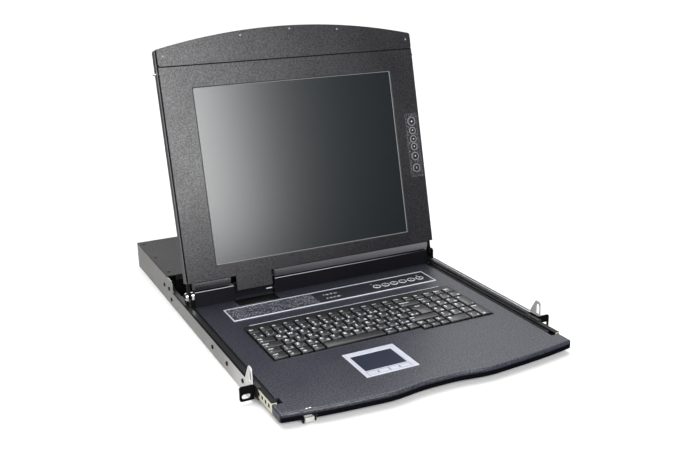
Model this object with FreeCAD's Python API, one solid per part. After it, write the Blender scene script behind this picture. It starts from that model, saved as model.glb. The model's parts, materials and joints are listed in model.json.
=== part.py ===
"""Rack-mounted console drawer: slide-out tray with keyboard, fold-up screen and switch box.

Millimetres. +X is to the right as the user faces the screen, +Y is to the rear and +Z is up.
The origin is the middle of the footprint, at the underside. Depths (d) are measured to the
rear from the front plane of the rack ears. Screen-lid shapes are drawn upright, with b as the
depth behind the bezel face and h as the height above the bezel's lower edge, then leaned back.
"""
import FreeCAD, Part
import math
import os

Vector = FreeCAD.Vector

# ---- frame and overall sizes -------------------------------------------------------------
EAR_Y = -240.2              # front plane of the rack ears in the part's frame
REAR = 572.0                # depth of the rear ends of the side plates
PLATE_OUT = 225.0           # outer faces of the side plates
PLATE_IN = 223.4            # inner faces of the side plates
HEIGHT = 44.0               # one rack unit, less a working gap
LOW_TOP = 25.0              # top of the low, front part of the side plates
STEP_D = 352.0              # depth where the side plates rise to the full height
BOX_D = 380.0               # front of the covered switch box
SHEET = 1.5                 # chassis sheet thickness
REAR_PANEL_D = 568.0        # front face of the recessed rear panel

# ---- rack ears ---------------------------------------------------------------------------
EAR_OUT = 241.3             # half of the 482.6 mm rack panel width
EAR_IN = 222.2
EAR_Z = (3.8, 24.1)
EAR_THICK = 2.0
EAR_SLOT_X = 232.55         # half of the 465.1 mm rack hole spacing
EAR_SLOT_Z = 10.0
EAR_SLOT = (12.0, 7.0)      # slot length and width

# ---- slides ------------------------------------------------------------------------------
GAUGE = 1.2                 # slide and tray sheet thickness
OUTER_D = (21.0, 540.0)
MIDDLE_D = (10.0, 420.0)
END_D = (-8.0, 10.0)
INNER_D = (-50.6, 340.0)

# ---- tray --------------------------------------------------------------------------------
DECK_Z = 19.0
SKIRT_Z = 7.0
TRAY_HALF = 212.0
TRAY_REAR_D = 300.0
WING_HALF = 218.5           # half width of the front flange
WING_D = -51.4              # rear edge of the flange's wings
WING_FRONT_D = -76.0        # front corners of the flange
NOTCH_HALF = 204.0
NOTCH_D = -36.0
CENTRE_D = -85.2            # middle of the bowed front edge
BUMP_X, BUMP_D = 70.0, -91.4
FRONT_BEND = 3.0            # outside radius where the deck turns down

# ---- keyboard ----------------------------------------------------------------------------
KEYS_X = -170.1             # left edge of the leftmost keys
KEY_PITCH = 18.3
ROW_PITCH = 18.4
ROWS_D = 59.0               # front edge of the bottom row
FUNCTION_DEPTH = 17.0
CLUSTER_X = 58.0            # left edge of the arrow cluster, which reaches further forward
CLUSTER_D = 50.4
KEY_Z = (16.0, 21.4)
KEY_GAP = 1.2
KEY_TAPER = 1.5
KEY_WELL = (-171.6, 180.0, 57.2, 184.0)     # x0, x1, front, rear of the deck opening
KEY_WELL_STEP_D = 49.0
KEY_FLOOR_Z = (11.5, 13.0)
KEY_BAND_D = 168.8          # front edge of the blank band behind the keys

# ---- switch panel and touchpad -----------------------------------------------------------
PANEL = (-173.4, 177.4, 208.0, 255.6)
PANEL_TRIM = 1.8
PANEL_BUTTON_X = 79.0
PANEL_BUTTON_PITCH = 16.0
PANEL_BUTTON_D = 230.5
PANEL_BUTTON_R = 4.6
PAD_FRAME = (-84.2, -6.3, -42.5, 29.8)
PAD = (-78.4, -15.0, -27.2, 19.8)
PAD_BUTTONS_D = (-39.6, -29.4)

# ---- hinge and lid -----------------------------------------------------------------------
LEAN = 13.455               # degrees that the open lid leans back from upright
BEZEL_D, BEZEL_Z = 283.35, 60.96            # lower edge of the bezel face, lid open
AXIS_B, AXIS_H = 13.5, -19.9                # hinge axis in the lid's own directions
PIN_R = 2.0
LUG_R = 5.35
BEAM_CLEAR_R = 8.9          # hollow under the lid's beam, about the hinge axis
COVER_D = (286.0, 297.7)
COVER_TOP = 44.0
COVER_LEFT = (-207.5, -143.5)
COVER_RIGHT = (-76.0, 207.5)
SPINE_LEFT_END = -149.0     # the left length of lower beam stops short of the tongue
LID_HALF = 219.5
BEZEL_HALF = 217.0
LID_DEPTH = 19.0
LID_SHOULDER = 353.4        # height of the lid's top corners
LID_PEAK = 378.6            # height of the middle of its arched top
BEZEL_TOP = 327.0
SCREEN = (-169.0, 170.6, 21.0, 292.7)
OSD = (189.0, 213.0, 111.0, 220.0)
OSD_X = 201.5
OSD_BUTTONS = ((205.7, 5.6), (190.0, 4.4), (176.0, 4.4), (163.0, 4.4), (146.6, 5.2), (126.7, 5.2))
TONGUE = (-140.7, -82.0, -23.5)
SIDE_PIN = (11.0, 318.0)    # b and h of the two sprung side pins
SIDE_PIN_R = 1.9

tilt = math.radians(LEAN)
AXIS_D = BEZEL_D + AXIS_H * math.sin(tilt) + AXIS_B * math.cos(tilt)
AXIS_Z = BEZEL_Z + AXIS_H * math.cos(tilt) - AXIS_B * math.sin(tilt)
LID_PLACE = FreeCAD.Placement(Vector(0, EAR_Y + BEZEL_D, BEZEL_Z),
                              FreeCAD.Rotation(Vector(1, 0, 0), -LEAN))


# ---- shape helpers -----------------------------------------------------------------------
def block(x0, x1, d0, d1, z0, z1):
    """Box between two corners."""
    return Part.makeBox(x1 - x0, d1 - d0, z1 - z0, Vector(x0, EAR_Y + d0, z0))


def upright_prism(points, z0, z1):
    """Prism along Z over a plan outline of (x, d) points."""
    corners = [Vector(x, EAR_Y + d, z0) for x, d in points]
    face = Part.Face(Part.makePolygon(corners + corners[:1]))
    return face.extrude(Vector(0, 0, z1 - z0))


def side_prism(points, x0, x1):
    """Prism along X over a side outline of (d, z) points."""
    corners = [Vector(x0, EAR_Y + d, z) for d, z in points]
    face = Part.Face(Part.makePolygon(corners + corners[:1]))
    return face.extrude(Vector(x1 - x0, 0, 0))


def cross_rod(x0, x1, d, z, radius):
    """Cylinder along X."""
    return Part.makeCylinder(radius, x1 - x0, Vector(x0, EAR_Y + d, z), Vector(1, 0, 0))


def post(x, d, z0, z1, radius):
    """Cylinder along Z."""
    return Part.makeCylinder(radius, z1 - z0, Vector(x, EAR_Y + d, z0))


def lid_block(x0, x1, b0, b1, h0, h1):
    """Box in the lid's own directions."""
    return Part.makeBox(x1 - x0, b1 - b0, h1 - h0, Vector(x0, b0, h0))


def lid_rod(x, h, b0, b1, radius):
    """Cylinder through the lid's thickness."""
    return Part.makeCylinder(radius, b1 - b0, Vector(x, b0, h), Vector(0, 1, 0))


def fused(shapes):
    """One solid from several touching ones."""
    return shapes[0].multiFuse(shapes[1:]).removeSplitter()


def mirrored(shape):
    """The same shape on the other side of the object."""
    return shape.mirror(Vector(0, 0, 0), Vector(1, 0, 0))


def both_sides(shape):
    """A left and a right copy as separate solids."""
    return Part.makeCompound([shape, mirrored(shape)])


def round_edges(shape, radius, wanted):
    """Fillet the edges whose centre and direction pass the test."""
    chosen = []
    for edge in shape.Edges:
        if len(edge.Vertexes) != 2:
            continue
        start, end = edge.Vertexes[0].Point, edge.Vertexes[1].Point
        middle = (start + end) * 0.5
        run = end - start
        if wanted(middle, run):
            chosen.append(edge)
    return shape.makeFillet(radius, chosen)


def is_upright(run):
    """True for an edge along Z."""
    return abs(run.x) < 0.01 and abs(run.y) < 0.01


def stadium(length, width, thickness, centre):
    """Slot cutter along X with round ends, through Y."""
    radius = width / 2
    half = length / 2 - radius
    bar = Part.makeBox(2 * half, thickness, width, centre + Vector(-half, 0, -radius))
    ends = [Part.makeCylinder(radius, thickness, centre + Vector(x, 0, 0), Vector(0, 1, 0))
            for x in (-half, half)]
    return fused([bar] + ends)


def save(name, shape):
    """Write one sub-part."""
    shape.exportStep("parts/" + name + ".step")


def save_lid(name, shape):
    """Lean a lid sub-part back and write it."""
    placed = shape.copy()
    placed.Placement = LID_PLACE.multiply(placed.Placement)
    save(name, placed)


# ---- chassis -----------------------------------------------------------------------------
PLATE_HOLES = ((32.6, 15.2), (93.7, 13.0), (154.2, 12.6), (358.6, 10.8), (368.9, 25.8),
               (396.5, 23.6))
PLATE_HOLE_R = 2.1


def side_plate():
    """Left side plate: low at the front, full height at the switch box, windowed lid tab."""
    cover_z = HEIGHT - SHEET
    outline = [(2.2, 0.0), (REAR, 0.0), (REAR, cover_z), (STEP_D + 5, cover_z),
               (STEP_D, cover_z - 5), (STEP_D, LOW_TOP + 2), (STEP_D - 2, LOW_TOP),
               (23.0, LOW_TOP), (12.0, 43.6), (9.4, 46.8), (2.0, 46.8), (-0.4, 44.2),
               (-0.8, 25.2), (2.2, 25.2)]
    plate = side_prism(outline, -PLATE_OUT, -PLATE_IN)
    window = [(1.4, 27.5), (8.4, 27.5), (8.4, 38.6), (7.0, 42.2), (3.2, 42.2), (1.4, 39.0)]
    plate = plate.cut(side_prism(window, -PLATE_OUT - 1, -PLATE_IN + 1))
    for d, z in PLATE_HOLES:
        plate = plate.cut(cross_rod(-PLATE_OUT - 1, -PLATE_IN + 1, d, z, PLATE_HOLE_R))
    ring = cross_rod(-PLATE_OUT - 1, -PLATE_OUT + 0.4, 410.6, 31.1, 5.2)
    ring = ring.cut(cross_rod(-PLATE_OUT - 2, -PLATE_OUT + 1, 410.6, 31.1, 4.2))
    return plate.cut(ring)


def rack_ear():
    """Left rack ear: slotted front plate with a flange against the side plate."""
    front = block(-EAR_OUT, -EAR_IN, 0, EAR_THICK, *EAR_Z)
    front = round_edges(front, 3.0, lambda c, r: c.x < -EAR_OUT + 1 and abs(r.y) > 1
                        and abs(r.x) < 0.01 and abs(r.z) < 0.01)
    flange = block(-PLATE_IN, -EAR_IN, EAR_THICK, 20.0, EAR_Z[0], EAR_Z[1] - 0.3)
    ear = fused([front, flange])
    centre = Vector(-EAR_SLOT_X, EAR_Y - 1, EAR_SLOT_Z)
    return ear.cut(stadium(EAR_SLOT[0], EAR_SLOT[1], EAR_THICK + 2, centre))


def chassis_pan():
    """Bottom sheet with raised stiffening ribs on its inside."""
    pan = block(-PLATE_IN, PLATE_IN, 21.0, REAR, 0, SHEET)
    ribs = [block(-200, 200, d, d + 6, SHEET, SHEET + 1.5) for d in (60.0, 170.0, 280.0)]
    return fused([pan] + ribs)


PORT_X = [-186.0 + 34.0 * i for i in range(8)]
PORT_Z = 15.0
INLET_X, INLET_Z = 150.0, 22.0


def rear_panel():
    """Recessed rear panel with cut-outs for the ports and the mains inlet."""
    panel = block(-PLATE_IN, PLATE_IN, REAR_PANEL_D, REAR_PANEL_D + SHEET, SHEET, HEIGHT - SHEET)
    for x in PORT_X:
        panel = panel.cut(block(x - 9.4, x + 9.4, REAR_PANEL_D - 1, REAR_PANEL_D + 3,
                                PORT_Z - 5.2, PORT_Z + 5.2))
    hole = block(INLET_X - 14, INLET_X + 14, REAR_PANEL_D - 1, REAR_PANEL_D + 3,
                 INLET_Z - 10.2, INLET_Z + 10.2)
    panel = panel.cut(hole)
    for i in range(12):
        x = -190.0 + 22.0 * i
        centre = Vector(x, EAR_Y + REAR_PANEL_D - 1, 32.0)
        panel = panel.cut(stadium(14.0, 2.4, SHEET + 2, centre))
    return panel


def front_bulkhead():
    """Front wall of the switch box, with the slot where the internal cable leaves."""
    wall = block(-211.0, 211.0, BOX_D, BOX_D + SHEET, SHEET, HEIGHT - SHEET)
    slot = stadium(60.0, 10.0, SHEET + 2, Vector(-112.0, EAR_Y + BOX_D - 1, 24.0))
    return wall.cut(slot)


COVER_SCREWS_D = (396.0, 476.0, 556.0)
COVER_SCREW_X = 217.0


def top_cover():
    """Cover of the switch box with a turned-down front lip."""
    cover = block(-PLATE_OUT, PLATE_OUT, BOX_D - 1.2, REAR, HEIGHT - SHEET, HEIGHT)
    lip = block(-210.0, 210.0, BOX_D - 1.2, BOX_D, HEIGHT - 9.0, HEIGHT - SHEET)
    cover = fused([cover, lip])
    for d in COVER_SCREWS_D:
        for x in (-COVER_SCREW_X, COVER_SCREW_X):
            cover = cover.cut(post(x, d, HEIGHT - 0.7, HEIGHT + 1, 3.2))
    return cover


def chassis_screws():
    """Countersunk screws of the top cover."""
    screws = []
    for d in COVER_SCREWS_D:
        for x in (-COVER_SCREW_X, COVER_SCREW_X):
            head = post(x, d, HEIGHT - 0.7, HEIGHT - 0.1, 3.1)
            slot = block(x - 2.2, x + 2.2, d - 0.4, d + 0.4, HEIGHT - 0.45, HEIGHT)
            cross = block(x - 0.4, x + 0.4, d - 2.2, d + 2.2, HEIGHT - 0.45, HEIGHT)
            screws.append(head.cut(slot).cut(cross))
    return Part.makeCompound(screws)


def channel(web_x, lip_x, d_range, z_low, z_high):
    """Left slide member: a C section with its lips turned from web_x towards lip_x."""
    away = GAUGE if lip_x > web_x else -GAUGE
    x0, x1 = sorted((web_x, web_x + away))
    l0, l1 = sorted((web_x, lip_x))
    web = block(x0, x1, d_range[0], d_range[1], z_low, z_high)
    low = block(l0, l1, d_range[0], d_range[1], z_low, z_low + GAUGE)
    high = block(l0, l1, d_range[0], d_range[1], z_high - GAUGE, z_high)
    return fused([web, low, high])


def slide_outer():
    """Left fixed slide member, drilled in line with the side plate."""
    slide = channel(-PLATE_IN, -216.0, OUTER_D, 4.0, 24.0)
    for d, z in PLATE_HOLES[:4]:
        slide = slide.cut(cross_rod(-PLATE_IN - 1, -221.0, d, z, PLATE_HOLE_R))
    return slide


def slide_middle():
    """Left middle slide member."""
    return channel(-220.6, -214.8, MIDDLE_D, 5.6, 22.4)


def slide_end():
    """Left moulded end piece in front of the middle slide member."""
    return channel(-220.6, -214.8, END_D, 5.6, 22.4)


def slide_inner():
    """Left slide member that is fixed to the tray."""
    return channel(-TRAY_HALF, -218.9, INNER_D, 7.2, 20.8)


def switch_board():
    """Switching circuit board with its chips and pillars."""
    board = block(-200.0, 76.0, 440.0, 556.0, 7.0, 8.6)
    chips = [block(x, x + 22, 480.0, 502.0, 8.6, 11.0) for x in (-170.0, -110.0, -50.0, 10.0)]
    pillars = [post(x, d, SHEET, 7.0, 3.0) for x in (-190.0, 66.0) for d in (450.0, 546.0)]
    return fused([board] + chips + pillars)


def power_supply():
    """Closed power supply block on the chassis floor."""
    return block(100.0, 204.0, 420.0, 530.0, SHEET, 36.0)


def rear_ports():
    """Eight computer ports, each with a flange outside the rear panel and a body inside."""
    ports = []
    for x in PORT_X:
        body = block(x - 9.2, x + 9.2, 557.0, REAR_PANEL_D + SHEET, PORT_Z - 5.0, PORT_Z + 5.0)
        flange = block(x - 15.0, x + 15.0, REAR_PANEL_D + SHEET, REAR_PANEL_D + 2.3,
                       PORT_Z - 6.2, PORT_Z + 6.2)
        shell = block(x - 8.2, x + 8.2, REAR_PANEL_D + 2.3, REAR - 0.1, PORT_Z - 4.2, PORT_Z + 4.2)
        ports.append(fused([body, flange, shell]))
    return Part.makeCompound(ports)


def power_inlet():
    """Mains inlet: open socket with three blades."""
    body = block(INLET_X - 13.8, INLET_X + 13.8, 548.0, REAR_PANEL_D + SHEET,
                 INLET_Z - 10.0, INLET_Z + 10.0)
    flange = block(INLET_X - 16.0, INLET_X + 16.0, REAR_PANEL_D + SHEET, REAR - 0.2,
                   INLET_Z - 12.0, INLET_Z + 12.0)
    socket = block(INLET_X - 12.2, INLET_X + 12.2, 553.0, REAR + 1, INLET_Z - 8.2, INLET_Z + 8.2)
    inlet = fused([body, flange]).cut(socket)
    blades = [block(INLET_X + x - 1.0, INLET_X + x + 1.0, 552.0, 566.0, INLET_Z + z - 2.0,
                    INLET_Z + z + 2.0) for x, z in ((-7.0, -3.5), (7.0, -3.5), (0.0, 0.5))]
    return fused([inlet] + blades)


# ---- tray --------------------------------------------------------------------------------
def front_curve(inset):
    """The bowed front edge as points from left to right, moved in by inset."""
    half = [(0.0, CENTRE_D), (24.0, CENTRE_D - 0.5), (48.0, -88.7), (BUMP_X, BUMP_D),
            (96.0, -90.4), (156.0, -85.2)]
    right = [(x, d + inset) for x, d in half]
    right.append((WING_HALF - inset, WING_FRONT_D + inset))
    left = [(-x, d) for x, d in reversed(right[1:])]
    return left + right


def tray_solid(inset, z0, z1):
    """Plan of the tray filled from z0 to z1, with every edge moved in by inset."""
    points = [Vector(x, EAR_Y + d, z0) for x, d in front_curve(inset)]
    front = Part.BSplineCurve()
    front.interpolate(points)
    wing, body, notch = WING_HALF - inset, TRAY_HALF - inset, NOTCH_HALF - inset
    rear = [(wing, WING_D - inset), (notch, WING_D - inset), (notch, NOTCH_D + inset),
            (body, NOTCH_D + inset), (body, TRAY_REAR_D - inset)]
    rear = rear + [(-x, d) for x, d in reversed(rear)]
    corners = [points[-1]] + [Vector(x, EAR_Y + d, z0) for x, d in rear] + [points[0]]
    edges = [front.toShape()]
    edges += [Part.makeLine(a, b) for a, b in zip(corners, corners[1:])]
    return Part.Face(Part.Wire(edges)).extrude(Vector(0, 0, z1 - z0))


def key_well(grow, z0, z1, corner):
    """Outline of the keyboard, stepped forward at the arrow cluster, moved out by grow."""
    x0, x1, front, rear = KEY_WELL
    points = [(x0 - grow, front - grow), (CLUSTER_X - 1 - grow, front - grow),
              (CLUSTER_X - 1 - grow, KEY_WELL_STEP_D - grow), (x1 + grow, KEY_WELL_STEP_D - grow),
              (x1 + grow, rear + grow), (x0 - grow, rear + grow)]
    well = upright_prism(points, z0, z1)
    return round_edges(well, corner, lambda c, r: is_upright(r) and c.y > EAR_Y + rear - 2)


def tray_deck():
    """Deck, bowed front flange and skirts as one thin shell, with its three openings."""
    deck = tray_solid(0.0, SKIRT_Z, DECK_Z)
    deck = round_edges(deck, 3.0, lambda c, r: is_upright(r) and abs(c.x) > WING_HALF - 1
                       and c.y < EAR_Y + WING_FRONT_D + 1)
    bend = [e for e in deck.Edges if e.BoundBox.ZMin > DECK_Z - 0.01 and e.BoundBox.YLength > 1
            and e.BoundBox.YMax < EAR_Y + WING_D + 0.1]
    deck = deck.makeFillet(FRONT_BEND, bend)
    deck = deck.cut(tray_solid(1.4, SKIRT_Z - 1, DECK_Z - GAUGE))
    deck = deck.cut(key_well(0.0, DECK_Z - 3, DECK_Z + 1, 11.0))
    x0, x1, front, rear = PANEL
    deck = deck.cut(block(x0 + 1, x1 - 1, front + 1, rear - 1, DECK_Z - 3, DECK_Z + 1))
    x0, x1, front, rear = PAD_FRAME
    deck = deck.cut(block(x0 + 1, x1 - 1, front + 1, rear - 1, DECK_Z - 3, DECK_Z + 1))
    return deck.cut(block(*LATCH_NOTCH_X, -90.0, -75.0, SKIRT_Z - 1, 12.4))


def tray_bottom():
    """Closing sheet under the tray, with a folded-up front and supports for the keyboard."""
    sheet = block(-203.0, 203.0, -58.0, TRAY_REAR_D - 1.4, SKIRT_Z - GAUGE, SKIRT_Z)
    front = block(-202.0, 202.0, -58.0, -56.8, SKIRT_Z, DECK_Z - GAUGE)
    supports = [block(x, x + 30.0, d, d + 12.0, SKIRT_Z, KEY_FLOOR_Z[0])
                for x in (-160.0, -10.0, 140.0) for d in (65.0, 160.0)]
    return fused([sheet, front] + supports)


def keyboard_base():
    """Shallow pan that carries the keys, with a blank band behind them."""
    pan = key_well(-0.6, KEY_FLOOR_Z[0], DECK_Z, 10.4)
    hollow = key_well(-1.4, KEY_FLOOR_Z[1], DECK_Z + 1, 9.6)
    x0, x1, front, rear = KEY_WELL
    hollow = hollow.common(block(x0, x1, KEY_WELL_STEP_D, KEY_BAND_D, 0, HEIGHT))
    return pan.cut(hollow)


def key(x0, x1, d0, d1):
    """One key cap, narrower at its top."""
    gap, taper = KEY_GAP / 2, KEY_TAPER
    a0, a1, c0, c1 = x0 + gap, x1 - gap, d0 + gap, d1 - gap
    low = Part.makePolygon([Vector(x, EAR_Y + d, KEY_Z[0]) for x, d in
                            ((a0, c0), (a1, c0), (a1, c1), (a0, c1), (a0, c0))])
    top = Part.makePolygon([Vector(x, EAR_Y + d, KEY_Z[1]) for x, d in
                            ((a0 + taper, c0 + taper * 0.7), (a1 - taper, c0 + taper * 0.7),
                             (a1 - taper, c1 - taper * 0.7), (a0 + taper, c1 - taper * 0.7),
                             (a0 + taper, c0 + taper * 0.7))])
    return Part.makeLoft([low, top], True, True)


def row_of_keys(units, x, d0, d1, pitch):
    """Keys side by side from x; units are widths in key pitches."""
    keys = []
    for unit in units:
        keys.append(key(x, x + unit * pitch, d0, d1))
        x += unit * pitch
    return keys


def row_depth(row):
    """Front and rear edges of a main-block row, counted from the bottom row."""
    front = ROWS_D + row * ROW_PITCH
    return front, front + ROW_PITCH


PAD_KEYS_X = KEYS_X + 15 * KEY_PITCH
PAD_KEYS_PITCH = (ROWS_D + 5 * ROW_PITCH - CLUSTER_D) / 5


def pad_depth(row, rows=1):
    """Front and rear edges of a number-pad row."""
    front = CLUSTER_D + row * PAD_KEYS_PITCH
    return front, front + rows * PAD_KEYS_PITCH


def enter_key():
    """The tall, stepped enter key."""
    upper, home = row_depth(3), row_depth(2)
    right = KEYS_X + 15 * KEY_PITCH
    wide = key(right - 1.5 * KEY_PITCH, right, upper[0] - KEY_GAP, upper[1])
    tall = key(right - 1.25 * KEY_PITCH, right, home[0], upper[1])
    return fused([wide, tall])


def keys_bottom():
    """Bottom row, arrow cluster and the number pad's lowest keys."""
    front, rear = row_depth(0)
    space = (CLUSTER_X - KEYS_X) / KEY_PITCH - 7.25
    keys = row_of_keys([1.25, 1, 1, 1, space, 1, 1, 1], KEYS_X, front, rear, KEY_PITCH)
    pitch = (PAD_KEYS_X - CLUSTER_X) / 3
    middle = (CLUSTER_D + rear) / 2
    keys += row_of_keys([1, 1, 1], CLUSTER_X, CLUSTER_D, middle, pitch)
    keys += row_of_keys([1, 1, 1], CLUSTER_X, middle, rear, pitch)
    keys += row_of_keys([2, 1], PAD_KEYS_X, *pad_depth(0), KEY_PITCH)
    keys += row_of_keys([1], PAD_KEYS_X + 3 * KEY_PITCH, *pad_depth(0, 2), KEY_PITCH)
    return Part.makeCompound(keys)


def keys_lower():
    """Shift row."""
    keys = row_of_keys([1.25] + [1] * 11 + [2.75], KEYS_X, *row_depth(1), KEY_PITCH)
    keys += row_of_keys([1] * 3, PAD_KEYS_X, *pad_depth(1), KEY_PITCH)
    return Part.makeCompound(keys)


def keys_home():
    """Caps-lock row and the enter key."""
    keys = row_of_keys([1.75] + [1] * 12, KEYS_X, *row_depth(2), KEY_PITCH)
    keys.append(enter_key())
    keys += row_of_keys([1] * 3, PAD_KEYS_X, *pad_depth(2), KEY_PITCH)
    keys += row_of_keys([1], PAD_KEYS_X + 3 * KEY_PITCH, *pad_depth(2, 2), KEY_PITCH)
    return Part.makeCompound(keys)


def keys_upper():
    """Tab row."""
    keys = row_of_keys([1.5] + [1] * 12, KEYS_X, *row_depth(3), KEY_PITCH)
    keys += row_of_keys([1] * 3, PAD_KEYS_X, *pad_depth(3), KEY_PITCH)
    return Part.makeCompound(keys)


def keys_number():
    """Number row."""
    keys = row_of_keys([1] * 13 + [2], KEYS_X, *row_depth(4), KEY_PITCH)
    keys += row_of_keys([1] * 4, PAD_KEYS_X, *pad_depth(4), KEY_PITCH)
    return Part.makeCompound(keys)


def keys_function():
    """Function row."""
    front = ROWS_D + 5 * ROW_PITCH
    return Part.makeCompound(row_of_keys([1] * 19, KEYS_X, front, front + FUNCTION_DEPTH, KEY_PITCH))


def panel_button(index):
    """Round push button with a retaining collar under the panel."""
    x = PANEL_BUTTON_X + index * PANEL_BUTTON_PITCH
    cap = post(x, PANEL_BUTTON_D, 17.0, 20.2, PANEL_BUTTON_R)
    collar = post(x, PANEL_BUTTON_D, 16.2, 17.2, PANEL_BUTTON_R + 1.0)
    button = fused([cap, collar])
    return round_edges_at_height(button, 20.2, 0.5)


def round_edges_at_height(shape, z, radius):
    """Fillet every edge that lies flat at height z."""
    chosen = [e for e in shape.Edges if abs(e.BoundBox.ZMin - z) < 0.01 and e.BoundBox.ZLength < 0.01]
    return shape.makeFillet(radius, chosen)


def switch_panel():
    """Inlaid panel strip with bores for its buttons."""
    x0, x1, front, rear = PANEL
    panel = block(x0 + PANEL_TRIM, x1 - PANEL_TRIM, front + PANEL_TRIM, rear - PANEL_TRIM, 17.6, 19.5)
    for i in range(6):
        x = PANEL_BUTTON_X + i * PANEL_BUTTON_PITCH
        panel = panel.cut(post(x, PANEL_BUTTON_D, 17.0, 20.0, PANEL_BUTTON_R + 0.3))
    return panel


def panel_trim():
    """Raised bright rim round the panel strip."""
    x0, x1, front, rear = PANEL
    rim = block(x0, x1, front, rear, DECK_Z, 20.0)
    rim = round_edges_at_height(rim, 20.0, 0.4)
    return rim.cut(block(x0 + PANEL_TRIM, x1 - PANEL_TRIM, front + PANEL_TRIM, rear - PANEL_TRIM,
                         DECK_Z - 1, 21.0))


def pad_button_span(index):
    """Left and right edges of a touchpad button."""
    middle = (PAD[0] + PAD[1]) / 2
    return (PAD[0], middle - 0.6) if index == 0 else (middle + 0.6, PAD[1])


def touchpad_frame():
    """Bright frame round the pad, with two button openings in its front bar."""
    x0, x1, front, rear = PAD_FRAME
    low = block(x0 + 1.2, x1 - 1.2, front + 1.2, rear - 1.2, 16.8, DECK_Z)
    top = round_edges_at_height(block(x0, x1, front, rear, DECK_Z, 19.9), 19.9, 0.4)
    frame = fused([low, top]).cut(block(*PAD, 16.0, 21.0))
    for i in range(2):
        left, right = pad_button_span(i)
        frame = frame.cut(block(left - 0.3, right + 0.3, PAD_BUTTONS_D[0] - 0.3,
                                PAD_BUTTONS_D[1] + 0.3, 16.0, 21.0))
    return frame


def touchpad_pad():
    """Flat touch surface, a little below the frame."""
    return block(*PAD, 17.4, 19.3)


def touchpad_button(index):
    """Bar-shaped click button."""
    left, right = pad_button_span(index)
    bar = block(left, right, *PAD_BUTTONS_D, 17.0, 19.8)
    return round_edges_at_height(bar, 19.8, 0.4)


# ---- front latch -------------------------------------------------------------------------
LATCH_X = (-189.6, -175.4)
LATCH_NOTCH_X = (-191.2, -173.8)
LATCH_PIVOT = (-68.0, 12.0)
LATCH_PIN_R = 1.2


def latch_bracket():
    """Two cheeks and a pin that carry the latch lever under the front flange."""
    side = [(-81.6, 2.4), (-79.6, 1.2), (-62.0, 6.0), (-62.0, 17.8), (-75.8, 17.8),
            (-75.8, 11.8), (-81.6, 9.6)]
    left = side_prism(side, LATCH_X[0] - 1.4, LATCH_X[0] - 0.2)
    right = side_prism(side, LATCH_X[1] + 0.2, LATCH_X[1] + 1.4)
    bridge = block(LATCH_X[0] - 1.4, LATCH_X[1] + 1.4, -63.0, -61.6, 6.0, 17.8)
    pin = cross_rod(LATCH_X[0] - 1.4, LATCH_X[1] + 1.4, *LATCH_PIVOT, LATCH_PIN_R)
    return fused([left, right, bridge, pin])


def front_latch():
    """Lever with a rounded thumb pad, on the latch pin."""
    x0, x1 = LATCH_X[0] + 1.0, LATCH_X[1] - 1.2
    pad = side_prism([(-82.6, 3.0), (-81.8, 1.8), (-79.2, 1.8), (-78.4, 2.6), (-78.4, 8.0),
                      (-79.4, 8.6), (-81.6, 8.6), (-82.6, 7.8)], x0, x1)
    pad = round_edges(pad, 1.0, lambda c, r: (abs(r.z) > 1 or abs(r.y) > 1.5)
                      and (abs(c.x - x0) < 0.1 or abs(c.x - x1) < 0.1)
                      and c.y < EAR_Y - 81.5)
    arm = side_prism([(-79.4, 3.6), (-78.0, 3.6), (-67.0, 8.8), (-64.6, 11.0), (-65.2, 14.6),
                      (-68.0, 15.4), (-71.0, 14.0), (-78.0, 7.8), (-79.4, 7.6)],
                     LATCH_X[0] + 2.0, LATCH_X[1] - 2.0)
    lever = fused([pad, arm])
    return lever.cut(cross_rod(LATCH_X[0] - 2, LATCH_X[1] + 2, *LATCH_PIVOT, LATCH_PIN_R + 0.06))


# ---- hinge -------------------------------------------------------------------------------
def hinge_cover(x0, x1, open_end):
    """Box-section cover over the hinge line; its outer end is open for the hinge foot."""
    outer = block(x0, x1, COVER_D[0], COVER_D[1], DECK_Z, COVER_TOP)
    outer = round_edges(outer, 1.2, lambda c, r: abs(r.x) > 1 and c.z > COVER_TOP - 0.1)
    i0 = x0 - 1 if open_end < 0 else x0 + GAUGE
    i1 = x1 + 1 if open_end > 0 else x1 - GAUGE
    inner = block(i0, i1, COVER_D[0] + GAUGE, COVER_D[1] - GAUGE, DECK_Z - 1, COVER_TOP - GAUGE)
    return outer.cut(inner)


def hinge_covers():
    """Both hinge covers, joined by the wall behind the tongue."""
    wall = block(COVER_LEFT[1] - 1, COVER_RIGHT[0] + 1, COVER_D[1] - 1.0, COVER_D[1], DECK_Z, COVER_TOP)
    wall = round_edges(wall, 0.4, lambda c, r: abs(r.x) > 1 and c.z > COVER_TOP - 0.1
                       and c.y > EAR_Y + COVER_D[1] - 0.1)
    return fused([hinge_cover(*COVER_LEFT, -1), wall, hinge_cover(*COVER_RIGHT, 1)])


LUG_IN = (-212.0, -208.3)
ARM_X = (-216.8, -212.6)
LUG_OUT = (-221.0, -217.3)
LUG_FOOT_Z = 32.6


def lug(x0, x1):
    """Hinge lug: upright tab with a full-round top about the hinge axis."""
    tab = block(x0, x1, AXIS_D - LUG_R, AXIS_D + LUG_R, LUG_FOOT_Z, AXIS_Z)
    tab = fused([tab, cross_rod(x0, x1, AXIS_D, AXIS_Z, LUG_R)])
    return tab.cut(cross_rod(x0 - 1, x1 + 1, AXIS_D, AXIS_Z, PIN_R))


def hinge_lugs():
    """Plated lugs on either side of the left lid arm."""
    return Part.makeCompound([lug(*LUG_IN), lug(*LUG_OUT)])


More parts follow.
